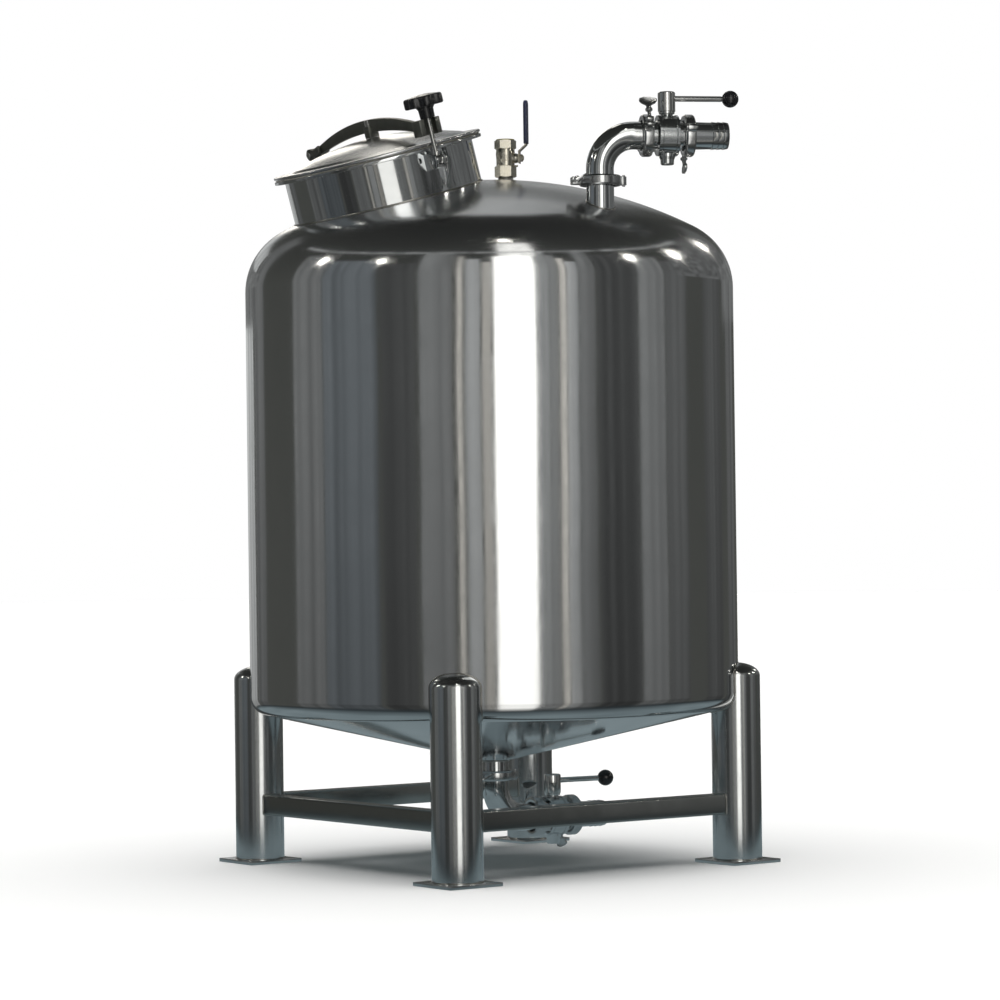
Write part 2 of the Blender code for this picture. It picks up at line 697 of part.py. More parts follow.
def vent_body():
    frame = vent_frame()
    body = cylinder("barrel", VENT_BODY_RADIUS, (0, 0, VENT_LOW_HEX[1] - SINK),
                    (0, 0, VENT_HIGH_HEX[0] + SINK), frame)
    for low, high in (VENT_LOW_HEX, VENT_HIGH_HEX):
        collar = cylinder("hex", VENT_HEX_RADIUS, (0, 0, low), (0, 0, high), frame, 6,
                          VENT_HEX_TURN)
        shape(body, "UNION", collar)
    boss = cylinder("boss", VENT_BOSS_RADIUS, (VENT_BOSS_RADIUS, 0, 0),
                    (VENT_BOSS_REACH, 0, 0), stem_frame())
    shape(body, "UNION", boss)
    bore = cylinder("vent_bore", VENT_BORE, (0, 0, VENT_LOW_HEX[0] - SINK),
                    (0, 0, VENT_HIGH_HEX[1] + SINK), frame)
    cavity = ball_shape("cavity", VENT_CAVITY, stem_frame())
    hole = cylinder("stem_hole", VENT_STEM_HOLE, (0, 0, 0), (VENT_BOSS_REACH + SINK, 0, 0),
                    stem_frame(), PIN_SIDES)
    shape(body, "DIFFERENCE", bore, cavity, hole)
    return settle("vent_valve_body", body, NICKEL)


def ball_shape(name, radius, frame):
    bm = bmesh.new()
    bmesh.ops.create_uvsphere(bm, u_segments=12, v_segments=8, radius=radius)
    return from_bmesh(name, bm, frame)


def lever_strip():
    """The cranked side of the lever in (x, z), as a strip of one thickness."""
    near, far, thick = LEVER_NEAR, LEVER_FAR - LEVER_THICKNESS / 2, LEVER_THICKNESS
    low_bend, high_bend = (height - VENT_STEM_HEIGHT for height in LEVER_BENDS)
    drop = thick / 2
    top = LEVER_TOP - VENT_STEM_HEIGHT
    outer = [(near + thick, -LEVER_TAIL), (near + thick, low_bend - drop),
             (far + thick, high_bend - drop), (far + thick, top)]
    inner = [(far, top), (far, high_bend), (near, low_bend), (near, -LEVER_TAIL)]
    return outer + inner


def vent_lever():
    """The ball, its stem and nut, and the flat lever, which turn as one."""
    frame = stem_frame()
    face = LEVER_NEAR + LEVER_THICKNESS
    side_on = frame @ Matrix.Rotation(math.radians(90.0), 4, "X")
    half = LEVER_WIDTH / 2
    lever = plate("strip", lever_strip(), -half, half, side_on)
    stem = cylinder("stem", VENT_STEM_RADIUS, (VENT_BALL_RADIUS - SINK, 0, 0),
                    (face + VENT_NUT_LENGTH + SINK, 0, 0), frame, PIN_SIDES)
    nut = cylinder("nut", VENT_NUT_RADIUS, (face - GAP, 0, 0), (face + VENT_NUT_LENGTH, 0, 0),
                   frame, 6)
    ball = ball_shape("ball", VENT_BALL_RADIUS, frame)
    ball_bore = cylinder("ball_bore", VENT_BORE - VENT_BALL_PLAY, (0, 0, -VENT_CAVITY),
                         (0, 0, VENT_CAVITY), frame)
    shape(ball, "DIFFERENCE", ball_bore)
    shape(lever, "UNION", stem, nut, ball)
    return settle("vent_valve_lever", lever, NICKEL)


def vent_sleeve():
    """The dipped sleeve over the lever's upper end."""
    frame = stem_frame() @ Matrix.Translation((LEVER_FAR, 0, 0)) @ UPRIGHT
    half = SLEEVE_WIDTH / 2
    low, top = SLEEVE_LOW - VENT_STEM_HEIGHT, SLEEVE_TOP - VENT_STEM_HEIGHT
    outline = [(-half, low), (half, low)] + arc((0.0, top - half), half, 0.0, 180.0, 8)
    sleeve = plate("sleeve", outline, -SLEEVE_THICKNESS / 2, SLEEVE_THICKNESS / 2, frame)
    wide = LEVER_WIDTH / 2 + GAP
    deep = LEVER_THICKNESS / 2 + GAP
    pocket = box("pocket", (-wide, low - SINK, -deep),
                 (wide, LEVER_TOP - VENT_STEM_HEIGHT + GAP, deep), frame)
    return settle("vent_lever_sleeve", shape(sleeve, "DIFFERENCE", pocket), BLUE)


# Pipe fittings

def ferrule(top, away):
    """Outer points of a clamp lip whose flat face is at top and whose pipe runs away from it."""
    return [(LIP_RADIUS, top), (LIP_RADIUS, top + away * LIP_THICKNESS),
            (PIPE_RADIUS, top + away * (LIP_THICKNESS + LIP_TAPER))]


def nozzle(name, spot, joint, rise, vessel):
    """A stub welded on to the vessel; rise is +1 where its lip faces up."""
    frame = Matrix.Translation((*spot, joint - rise * GAP / 2))
    if rise < 0:
        frame = frame @ FLIP
    outline = [(PIPE_BORE, 0.0)] + ferrule(0.0, -1)
    outline += [(PIPE_RADIUS, -NOZZLE_LENGTH), (PIPE_BORE, -NOZZLE_LENGTH)]
    stub = turned("stub", outline, frame)
    return settle(name, shape(stub, "DIFFERENCE", vessel), STEEL)


def ring_of(bm, centre, along, radius):
    """A circle of vertices square to a path that lies in the frame's x and z."""
    sideways = Vector((0, 1, 0))
    upward = Vector(along).cross(sideways)
    points = []
    for i in range(PIPE_SIDES):
        angle = math.tau * (i + 0.5) / PIPE_SIDES
        offset = sideways * math.cos(angle) + upward * math.sin(angle)
        points.append(bm.verts.new(Vector(centre) + offset * radius))
    return points


def elbow(name, frame, rise):
    """A hollow bend with a clamp lip at each end; rise is the side its upright leg is on."""
    centre = Vector((BEND_RADIUS, 0, rise * BEND_RADIUS))
    bend = []
    for i in range(BEND_STEPS + 1):
        angle = math.radians(90.0 * i / BEND_STEPS)
        point = centre - BEND_RADIUS * Vector((math.cos(angle), 0, rise * math.sin(angle)))
        bend.append((point, Vector((math.sin(angle), 0, -rise * math.cos(angle)))))
    upright, level = bend[0][1], bend[-1][1]
    first = Vector((0, 0, rise * (ELBOW_REACH - GAP / 2)))
    last = Vector((VALVE_START - GAP / 2, 0, 0))
    lip = [(LIP_RADIUS, 0.0), (LIP_RADIUS, LIP_THICKNESS), (PIPE_RADIUS, LIP_THICKNESS + LIP_TAPER)]
    outside = [(first + upright * s, upright, radius) for radius, s in lip]
    outside += [(point, along, PIPE_RADIUS) for point, along in bend]
    outside += [(last - level * s, level, radius) for radius, s in reversed(lip)]
    inside = [(first, upright)] + bend + [(last, level)]
    bm = bmesh.new()
    rings = [ring_of(bm, *station) for station in outside]
    rings += [ring_of(bm, point, along, PIPE_BORE) for point, along in reversed(inside)]
    for near, far in zip(rings, rings[1:] + rings[:1]):
        for i in range(PIPE_SIDES):
            j = (i + 1) % PIPE_SIDES
            bm.faces.new((near[i], near[j], far[j], far[i]))
    return settle(name, from_bmesh(name, bm, frame), STEEL)


def wing_outline():
    """A wing nut's two blades as one flat outline, with the bolt's axis along y."""
    outer_top, outer_low = WING_EDGE
    half = [WING_CROTCH, (WING_SHOULDER, WING_TOP), (WING_HALF_SPAN, outer_top),
            (WING_HALF_SPAN, outer_low), WING_ROOT]
    return half + [(-x, y) for x, y in reversed(half)]


def clamp_bolt(frame, wing_turn):
    """The bolt, its head and the wing nut, along +Y through the ears of a clamp."""
    reach = CLAMP_BOLT_REACH
    shank = cylinder("shank", CLAMP_BOLT_RADIUS, (reach, CLAMP_BOLT_LOW, 0),
                     (reach, WING_HUB[0] + SINK, 0), frame, 8)
    head = cylinder("head", CLAMP_HEAD_RADIUS, (reach, CLAMP_HEAD[0], 0),
                    (reach, CLAMP_HEAD[1], 0), frame, 6)
    hub = cylinder("wing_hub", WING_HUB_RADIUS, (reach, WING_HUB[0], 0),
                   (reach, WING_HUB[1], 0), frame, 8)
    turn = Matrix.Rotation(wing_turn, 4, "Y") @ ALONG_X
    half = WING_THICKNESS / 2
    wings = plate("wings", wing_outline(), -half, half,
                  frame @ Matrix.Translation((reach, 0, 0)) @ turn)
    return shank, head, hub, wings


def clamp(name, frame, wing_turn):
    """A hinged ring round two lips: ears and a wing nut on +X, the hinge on -X."""
    wide, groove = CLAMP_HALF_WIDTH, CLAMP_GROOVE_HALF
    outline = [(CLAMP_BORE, wide), (CLAMP_RADIUS, wide), (CLAMP_RADIUS, -wide),
               (CLAMP_BORE, -wide), (CLAMP_BORE, -groove), (CLAMP_GROOVE, -groove),
               (CLAMP_GROOVE, groove), (CLAMP_BORE, groove)]
    ring = turned("ring", outline, frame)
    split, thick = CLAMP_SPLIT, CLAMP_EAR_THICKNESS
    for from_y, to_y in ((-split - thick, -split / 2), (split / 2, split + thick)):
        ear = box("ear", (CLAMP_EAR_ROOT, from_y, -CLAMP_EAR_HALF),
                  (CLAMP_EAR_REACH, to_y, CLAMP_EAR_HALF), frame)
        shape(ring, "UNION", ear)
    at, half = -CLAMP_KNUCKLE_REACH, CLAMP_KNUCKLE_HALF
    knuckle = cylinder("knuckle", CLAMP_KNUCKLE_RADIUS, (at, 0, -half), (at, 0, half), frame,
                       PIN_SIDES)
    shape(ring, "UNION", knuckle)
    gap = box("split", (PIPE_RADIUS, -split, -wide - SINK),
              (CLAMP_EAR_REACH + SINK, split, wide + SINK), frame)
    shape(ring, "DIFFERENCE", gap)
    shape(ring, "UNION", *clamp_bolt(frame, wing_turn))
    return settle(name, ring, CAST)


def valve_body(name, frame):
    """Two bolted flanges on a drum, with a lip at each end and a stem neck on top."""
    half = VALVE_LENGTH / 2 - GAP / 2
    wide, disc = VALVE_HALF_WIDTH, VALVE_HALF_WIDTH - VALVE_FLANGE_THICKNESS
    upper = ferrule(half, -1)
    upper += [(PIPE_RADIUS, wide), (VALVE_FLANGE_RADIUS, wide), (VALVE_FLANGE_RADIUS, disc),
              (VALVE_DRUM_RADIUS, disc)]
    lower = [(radius, -height) for radius, height in reversed(upper)]
    outline = [(PIPE_BORE, half)] + upper + lower + [(PIPE_BORE, -half)]
    body = turned("body", outline, frame @ ALONG_X)
    neck = cylinder("neck", VALVE_NECK_RADIUS, (0, 0, VALVE_NECK[0]), (0, 0, VALVE_NECK[1]), frame)
    boss = cylinder("boss", VALVE_BOSS_RADIUS, (0, 0, VALVE_BOSS[0]), (0, 0, VALVE_BOSS[1]), frame)
    shape(body, "UNION", neck, boss)
    low, high = STEM_HOLE_HEIGHTS
    hole = cylinder("stem_hole", STEM_HOLE, (0, 0, low), (0, 0, high), frame, PIN_SIDES)
    return settle(name, shape(body, "DIFFERENCE", hole), STEEL)


def valve_handle(prefix, frame):
    """The disc, stem, hub and rod that turn as one, with a ball on the rod's end."""
    low, high = HUB
    hub = cylinder("hub", HUB_RADIUS, (0, 0, low), (0, 0, high), frame)
    stem = cylinder("stem", STEM_RADIUS, (0, 0, 0), (0, 0, low + SINK), frame, PIN_SIDES)
    half = DISC_THICKNESS / 2
    disc = cylinder("disc", DISC_RADIUS, (0, -half, 0), (0, half, 0), frame)
    flat = math.sqrt(BALL_RADIUS ** 2 - ROD_RADIUS ** 2)
    rod = cylinder("rod", ROD_RADIUS, (0, 0, ROD_HEIGHT), (BALL_REACH - flat - GAP, 0, ROD_HEIGHT),
                   frame, ROD_SIDES)
    shape(hub, "UNION", stem, disc, rod)
    handle = settle(prefix + "_valve_handle", hub, BRIGHT)
    steep = math.degrees(math.asin(flat / BALL_RADIUS))
    curve = arc((0.0, 0.0), BALL_RADIUS, 90.0, -steep, BALL_STEPS)
    outline = [(0.0, BALL_RADIUS)] + curve[1:] + [(0.0, -flat)]
    seat = frame @ Matrix.Translation((BALL_REACH, 0, ROD_HEIGHT)) @ ALONG_X
    grip = turned("grip", outline, seat, BALL_SIDES, closed=False)
    return handle, settle(prefix + "_handle_ball", grip, BLACK)


def hose_tail(name, frame):
    outline = [(PIPE_BORE, TAIL_LENGTH), (PIPE_RADIUS, TAIL_LENGTH)]
    outline += ferrule(0.0, 1)[::-1] + [(PIPE_BORE, 0.0)]
    return settle(name, turned("tail", outline, frame @ ALONG_X), STEEL)


def pipe_set(prefix, spot, azimuth, height, rise, ear_side, vessel):
    """Nozzle, elbow, valve and hose tail with three clamps.

    rise is the side of the pipe that the nozzle is on, and ear_side is the side of it, along
    the pipe's own y, that the elbow clamp's wing nut stands on.
    """
    frame = Matrix.Translation((*spot, height)) @ Matrix.Rotation(azimuth, 4, "Z")
    nozzle(prefix + "_nozzle", spot, height + rise * ELBOW_REACH, -rise, vessel)
    elbow(prefix + "_elbow", frame, rise)
    upright = frame @ Matrix.Translation((0, 0, rise * ELBOW_REACH))
    clamp(prefix + "_nozzle_clamp", upright @ Matrix.Rotation(math.pi, 4, "Z"), NOZZLE_WING_TURN)
    first = frame @ Matrix.Translation((VALVE_START, 0, 0)) @ ALONG_X
    first = first @ Matrix.Rotation(ear_side * ELBOW_EAR_TURN, 4, "Z")
    clamp(prefix + "_elbow_clamp", first @ FLIP if ear_side < 0 else first, ELBOW_WING_TURN)
    middle = frame @ Matrix.Translation((VALVE_START + VALVE_LENGTH / 2, 0, 0))
    valve_body(prefix + "_valve_body", middle)
    handle, grip = valve_handle(prefix, middle)
    hang(axis_empty(prefix + "_stem_axis", middle), handle, grip)
    last = frame @ Matrix.Translation((VALVE_START + VALVE_LENGTH, 0, 0))
    turn = Matrix.Rotation(HOSE_EAR_TURN, 4, "Z") @ FLIP
    clamp(prefix + "_hose_clamp", last @ ALONG_X @ turn, HOSE_WING_TURN)
    hose_tail(prefix + "_hose_tail", last @ Matrix.Translation((GAP / 2, 0, 0)))


def build():
    vessel = vessel_solid(GAP)
    for name, start in (("right", -45.0), ("back", 45.0), ("left", 135.0), ("front", 225.0)):
        shell_wall("shell_wall_" + name, math.radians(start))
    top_head()
    bottom_cone()
    places = leg_places()
    for side, spot in places.items():
        leg(side, spot, vessel)
    brace("brace_front", places["front_left"], places["front_right"])
    brace("brace_left", places["front_left"], places["back_left"])
    brace("brace_back", places["back_left"], places["back_right"])
    manway_neck(vessel)
    manway_gasket()
    manway_pin()
    hinge = manway_frame() @ Matrix.Translation((0, -HINGE_REACH, HINGE_HEIGHT))
    hang(axis_empty("lid_hinge_axis", hinge), manway_lid(), manway_arm(), manway_bolt())
    stud_end = manway_frame() @ Matrix.Translation((0, BOLT_REACH, KNOB_HEAD[0]))
    hang(axis_empty("knob_axis", stud_end), manway_knob())
    vent_nipple(vessel)
    vent_body()
    hang(axis_empty("vent_stem_axis", stem_frame()), vent_lever(), vent_sleeve())
    pipe_set("inlet", (0.0, -INLET_OFFSET), INLET_AZIMUTH, INLET_HEIGHT, -1, -1, vessel)
    pipe_set("outlet", (0.0, 0.0), OUTLET_AZIMUTH, OUTLET_HEIGHT, 1, 1, vessel)


for leftover in list(bpy.data.objects):
    bpy.data.objects.remove(leftover)
PARTS = new_collection("storage_tank")
CUTTERS = new_collection("cutters")
STEEL = material("polished_stainless", (0.72, 0.73, 0.74), 0.16, 1.0)
LEG_STEEL = material("satin_stainless", (0.62, 0.64, 0.66), 0.30, 1.0)
DARK_STEEL = material("matt_stainless", (0.42, 0.44, 0.43), 0.45, 1.0)
BRIGHT = material("bright_stainless", (0.80, 0.80, 0.80), 0.12, 1.0)
CAST = material("cast_stainless", (0.60, 0.61, 0.62), 0.28, 1.0)
NICKEL = material("nickel_plate", (0.70, 0.68, 0.63), 0.25, 1.0)
BLACK = material("black_phenolic", (0.02, 0.02, 0.022), 0.30, 0.0)
BLUE = material("blue_vinyl", (0.05, 0.06, 0.20), 0.45, 0.0)
RUBBER = material("white_rubber", (0.75, 0.74, 0.70), 0.60, 0.0)
build()
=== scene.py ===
# %% [markdown]
# # A stainless process tank in the studio
#
# The tank is a polished vessel on four tube legs, with a hinged manway, a small vent valve and
# two sets of clamped pipe fittings. Its solids come packed, as a fixed frame. This lesson dresses
# them: it turns, spins and bevels finer shapes over the plain ones, and gives each its finish.
# Everything is in metres, with +Z up and the vessel's axis on the origin.

# %% Load the frame
import json
import math

import bmesh
import bpy
from mathutils import Matrix, Vector


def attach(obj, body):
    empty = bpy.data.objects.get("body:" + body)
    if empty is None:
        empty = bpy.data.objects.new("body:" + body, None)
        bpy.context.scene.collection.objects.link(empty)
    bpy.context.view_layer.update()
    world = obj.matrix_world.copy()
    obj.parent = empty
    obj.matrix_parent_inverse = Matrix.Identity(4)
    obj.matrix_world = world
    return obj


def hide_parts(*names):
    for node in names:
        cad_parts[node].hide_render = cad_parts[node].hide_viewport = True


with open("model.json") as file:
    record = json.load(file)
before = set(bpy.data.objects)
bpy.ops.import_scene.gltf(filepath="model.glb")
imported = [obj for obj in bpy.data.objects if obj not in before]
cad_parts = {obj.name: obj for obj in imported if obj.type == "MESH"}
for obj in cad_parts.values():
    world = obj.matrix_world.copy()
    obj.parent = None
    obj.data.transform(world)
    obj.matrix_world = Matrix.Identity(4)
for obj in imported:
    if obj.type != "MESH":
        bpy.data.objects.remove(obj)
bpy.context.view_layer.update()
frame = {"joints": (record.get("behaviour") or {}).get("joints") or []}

MM = 0.001

# %% [markdown]
# ## Where things are
#
# The frame already knows the main places. A joint gives a point and a direction, so the
# manway's own axes come from the lid's hinge and the knob's stud, and a pipe's direction comes
# from its valve handle. Only sizes that no node shows plainly are written as numbers.

# %% Places read from the frame
joints = {joint["name"]: joint for joint in frame["joints"]}
UPRIGHT = Matrix(((0, 0, 1, 0), (1, 0, 0, 0), (0, 1, 0, 0), (0, 0, 0, 1)))
GAP = 0.3 * MM


def at(x, y, z):
    return Matrix.Translation((x, y, z))


def about(axis, degrees):
    return Matrix.Rotation(math.radians(degrees), 4, axis)


ALONG_X, FLIP = about("Y", 90.0), about("X", 180.0)


def joint_place(name):
    return Vector(joints[name]["pos_m"]), Vector(joints[name]["axis"]).normalized()


def axes_at(origin, x_axis, z_axis):
    """A placing matrix with its x and z along two given directions."""
    y_axis = z_axis.cross(x_axis)
    turn = Matrix((x_axis, y_axis, z_axis)).transposed()
    return Matrix.Translation(origin) @ turn.to_4x4()


HINGE_REACH, HINGE_HEIGHT = 0.265, 0.116
hinge_point, hinge_axis = joint_place("manway_lid_hinge")
neck_axis = joint_place("manway_knob_spin")[1]
manway = axes_at(hinge_point, hinge_axis, neck_axis) @ at(0.0, HINGE_REACH, -HINGE_HEIGHT)
print("manway at", [round(v, 4) for v in manway.translation])

# %% [markdown]
# ## A small kit of shapes
#
# Nearly every piece of such a tank is turned, bent or cut from plate, so a few shapes are
# enough: a profile that is spun, a box, a flat outline that is extruded, and a pipe that is
# bridged from ring to ring. Sharp edges are softened where they are made, because a polished
# edge always catches a thin line of light.

# %% Turned shapes
SAME_POINT = 0.002 * MM


def shape_done(bm, place):
    """Weld what touches, point the faces outwards and move the shape to its place."""
    bmesh.ops.remove_doubles(bm, verts=bm.verts, dist=SAME_POINT)
    bmesh.ops.recalc_face_normals(bm, faces=bm.faces)
    bmesh.ops.transform(bm, matrix=place, verts=bm.verts)
    return bm


def rounded(points, radius, steps=3, closed=False):
    """Points with each corner replaced by a short curve of about that radius."""
    points = [Vector(point) for point in points]
    if closed:
        points = [points[-1]] + points + [points[0]]
    out = [] if closed else [points[0]]
    for before, corner, after in zip(points, points[1:], points[2:]):
        back, on = before - corner, after - corner
        reach = radius / math.tan(max(back.angle(on), 0.2) / 2)
        reach = min(reach, 0.45 * back.length, 0.45 * on.length)
        start, end = corner + back.normalized() * reach, corner + on.normalized() * reach
        for i in range(steps + 1):
            t = i / steps
            out.append(start * (1 - t) ** 2 + corner * 2 * t * (1 - t) + end * t ** 2)
    return out if closed else out + [points[-1]]


def turned(profile, place=Matrix(), steps=64, closed=False):
    """Spin a profile of (radius, height) points a full turn round the local z axis."""
    bm = bmesh.new()
    points = [bm.verts.new((radius, 0.0, height)) for radius, height in profile]
    pairs = list(zip(points, points[1:]))
    if closed:
        pairs.append((points[-1], points[0]))
    edges = [bm.edges.new(pair) for pair in pairs]
    bmesh.ops.spin(bm, geom=points + edges, cent=(0, 0, 0), axis=(0, 0, 1), angle=math.tau,
                   steps=steps, use_merge=True)
    return shape_done(bm, place)


def rod(radius, start, end, place=Matrix(), steps=32, bevel=0.5 * MM):
    """A round bar between two points, with its end edges softened."""
    along = Vector(end) - Vector(start)
    seat = Matrix.Translation(start) @ along.to_track_quat("Z", "Y").to_matrix().to_4x4()
    profile = rounded([(0, along.length), (radius, along.length), (radius, 0), (0, 0)], bevel)
    return turned(profile, place @ seat, steps)


def arc(centre, radius, start, end, steps):
    """Points on an arc between two angles in degrees."""
    angles = [math.radians(start + (end - start) * i / steps) for i in range(steps + 1)]
    return [(centre[0] + radius * math.cos(a), centre[1] + radius * math.sin(a)) for a in angles]


def circle(radius, height, steps):
    """Points evenly spaced round a level circle."""
    angles = [math.tau * i / steps for i in range(steps)]
    return [(radius * math.cos(a), radius * math.sin(a), height) for a in angles]


print("a turned ring has", len(turned([(1, 0), (2, 0)]).faces), "faces")

# %% Flat and boxed shapes
SHARP_EDGE = math.radians(30.0)


def soften(bm, width, segments=2):
    """Bevel the sharp edges of a shape."""
    sharp = [edge for edge in bm.edges if edge.is_manifold and edge.calc_face_angle() > SHARP_EDGE]
    bmesh.ops.bevel(bm, geom=sharp, offset=width, offset_type="OFFSET", segments=segments,
                    profile=0.5, affect="EDGES", material=-1, clamp_overlap=True)


def block(low, high, place=Matrix(), bevel=0.0, segments=2):
    """A box between two corners, with its edges softened."""
    bm = bmesh.new()
    low, high = Vector(low), Vector(high)
    bmesh.ops.create_cube(bm, size=1.0)
    bmesh.ops.scale(bm, vec=high - low, verts=bm.verts)
    bmesh.ops.translate(bm, vec=(low + high) / 2, verts=bm.verts)
    if bevel:
        soften(bm, bevel, segments)
    return shape_done(bm, place)


def stacked(outline, levels, place=Matrix(), bevel=0.0):
    """A flat (x, y) outline carried up through levels of (height, scale), and closed."""
    bm = bmesh.new()
    height, scale = levels[0]
    base = bm.faces.new([bm.verts.new((x * scale, y * scale, height)) for x, y in outline])
    face = base
    for next_height, next_scale in levels[1:]:
        grown = bmesh.ops.extrude_face_region(bm, geom=[face])["geom"]
        if face.is_valid and face != base:
            bm.faces.remove(face)
        verts = [item for item in grown if isinstance(item, bmesh.types.BMVert)]
        face = [item for item in grown if isinstance(item, bmesh.types.BMFace)][0]
        bmesh.ops.translate(bm, vec=(0, 0, next_height - height), verts=verts)
        ratio = next_scale / scale
        bmesh.ops.scale(bm, vec=(ratio, ratio, 1.0), verts=verts)
        height, scale = next_height, next_scale
    if bevel:
        bmesh.ops.recalc_face_normals(bm, faces=bm.faces)
        soften(bm, bevel)
    return shape_done(bm, place)


def prism(outline, low, high, place=Matrix(), bevel=0.0):
    """A flat outline with its thickness from low to high along z."""
    return stacked(outline, [(low, 1.0), (high, 1.0)], place, bevel)


def ringed(stations, place=Matrix(), sides=8):
    """A closed tube through stations of (centre, direction, radius)."""
    bm = bmesh.new()
    loops = []
    for centre, along, radius in stations:
        seat = Matrix.Translation(centre) @ Vector(along).to_track_quat("Z", "Y").to_matrix().to_4x4()
        made = bmesh.ops.create_circle(bm, segments=sides, radius=radius, matrix=seat)
        loops.append(list({edge for vert in made["verts"] for edge in vert.link_edges}))
    for near, far in zip(loops, loops[1:] + loops[:1]):
        bmesh.ops.bridge_loops(bm, edges=near + far)
    return shape_done(bm, place)


WELD_RIPPLE = 0.12


def bead(path, radius, place=Matrix()):
    """A closed run of weld metal along a path, a little thicker at every other step."""
    stations = []
    for i, point in enumerate(path):
        along = Vector(path[(i + 1) % len(path)]) - Vector(path[i - 1])
        stations.append((point, along, radius * (1 + WELD_RIPPLE * (i % 2))))
    return ringed(stations, place)


print("a softened block has", len(block((0, 0, 0), (1, 1, 1), bevel=0.1).faces), "faces")

# %% Putting shapes together
def mesh_from(bm, name="shape"):
    """A mesh made of a bmesh, which is freed."""
    mesh = bpy.data.meshes.new(name)
    bm.to_mesh(mesh)
    bm.free()
    return mesh


def object_of(name, data):
    """An object for a mesh, a camera or a light, in the scene."""
    made = bpy.data.objects.new(name, data)
    bpy.context.scene.collection.objects.link(made)
    return made


def gathered(shapes):
    """One bmesh that holds several shapes."""
    whole = bmesh.new()
    for carrier in [mesh_from(shape) for shape in shapes]:
        whole.from_mesh(carrier)
        bpy.data.meshes.remove(carrier)
    return whole


def combined(operation, first, *others):
    """Cut, join or intersect closed shapes with Booleans, as one bmesh."""
    makers = [object_of("maker", mesh_from(shape)) for shape in (first, *others)]
    for tool in makers[1:]:
        step = makers[0].modifiers.new("Boolean", "BOOLEAN")
        step.operation = operation
        step.object = tool
    bpy.context.view_layer.update()
    graph = bpy.context.evaluated_depsgraph_get()
    result = bpy.data.meshes.new_from_object(makers[0].evaluated_get(graph))
    bm = bmesh.new()
    bm.from_mesh(result)
    for maker in makers:
        bpy.data.objects.remove(maker)
    bpy.data.meshes.remove(result)
    return bm


print("shapes can be gathered, cut and joined")

# %% [markdown]
# ## Finishes
#
# Almost all of the tank is stainless steel, and what tells one piece from the next is how its
# surface was made: rolled and mirror polished, belt polished, turned, cast and tumbled. So one
# function makes a metal from a few real measures: its tones, its gloss, the width of its polish
# lines and how they run. A slow swell in the bump bends long reflections, as thin sheet does.


def linear(code):
    """An sRGB hex colour as the linear values that a shader takes."""
    parts = [int(code[i:i + 2], 16) / 255 for i in (1, 3, 5)]
    return [c / 12.92 if c <= 0.04045 else ((c + 0.055) / 1.055) ** 2.4 for c in parts] + [1.0]


def add(tree, kind, values=None, **settings):
    """Add a node with its settings, and fill or link its inputs."""
    node = tree.nodes.new("ShaderNode" + kind)
    for name, setting in settings.items():
        setattr(node, name, setting)
    for socket, value in (values or {}).items():
        if isinstance(value, bpy.types.NodeSocket):
            tree.links.new(value, node.inputs[socket])
        else:
            node.inputs[socket].default_value = value
    return node


MIX_FACTOR, MIX_A, MIX_B, MIX_COLOUR = 0, 6, 7, 2


def new_material(name):
    """A material with an empty tree, that tree, and the piece's own coordinates in it."""
    material = bpy.data.materials.new(name)
    material.use_nodes = True
    tree = material.node_tree
    tree.nodes.clear()
    return material, tree, add(tree, "TexCoord").outputs["Object"]


def finish_of(name, slot, tones, rough, grain, bump, metallic=1.0, stretch=(1, 1, 1),
              swell=(300.0, 0.0), duller=None, **constants):
    """A procedural finish.

    tones is a pair of hex colours, rough a pair of roughness values, grain the width of its
    grain and bump the depth of it, both in millimetres. stretch draws the grain out along an
    axis, and swell gives the size and depth of a slow wave in the surface. duller gives two
    heights in metres, between which the surface loses gloss, and the roughness that it gains.
    """
    material, tree, place = new_material(name)
    drawn = add(tree, "Mapping", {"Vector": place, "Scale": [1 / s for s in stretch]})
    fine = add(tree, "TexNoise", {"Vector": drawn.outputs[0], "Scale": 1 / (grain * MM),
                                  "Detail": 3.0, "Roughness": 0.6})
    cloud = add(tree, "TexNoise", {"Vector": place, "Scale": 1 / (40.0 * grain * MM),
                                   "Detail": 3.0})
    blend = add(tree, "Mix", {MIX_FACTOR: cloud.outputs[0], MIX_A: linear(tones[0]),
                              MIX_B: linear(tones[1])}, data_type="RGBA")
    both = add(tree, "Math", {0: fine.outputs[0], 1: cloud.outputs[0]}, operation="ADD")
    gloss = add(tree, "MapRange", {"Value": both.outputs[0], "From Min": 0.7, "From Max": 1.3,
                                   "To Min": rough[0], "To Max": rough[1]})
    if duller:
        height = add(tree, "SeparateXYZ", {"Vector": place}).outputs[2]
        worn = add(tree, "MapRange", {"Value": height, "From Min": duller[0],
                                      "From Max": duller[1], "To Max": duller[2]})
        gloss = add(tree, "Math", {0: gloss.outputs[0], 1: worn.outputs[0]}, operation="ADD")
    relief = add(tree, "Bump", {"Height": fine.outputs[0], "Distance": bump * MM})
    normal = relief
    if swell[1]:
        wave = add(tree, "TexNoise", {"Vector": place, "Scale": 1 / (swell[0] * MM),
                                      "Detail": 0.0})
        normal = add(tree, "Bump", {"Height": wave.outputs[0], "Distance": swell[1] * MM,
                                    "Normal": relief.outputs[0]})
    shader = add(tree, "BsdfPrincipled", {
        "Base Color": blend.outputs[MIX_COLOUR], "Roughness": gloss.outputs[0],
        "Metallic": metallic, "Normal": normal.outputs[0], **constants})
    add(tree, "OutputMaterial", {0: shader.outputs[0]})
    return material


print("white is", [round(v, 2) for v in linear("#ffffff")])

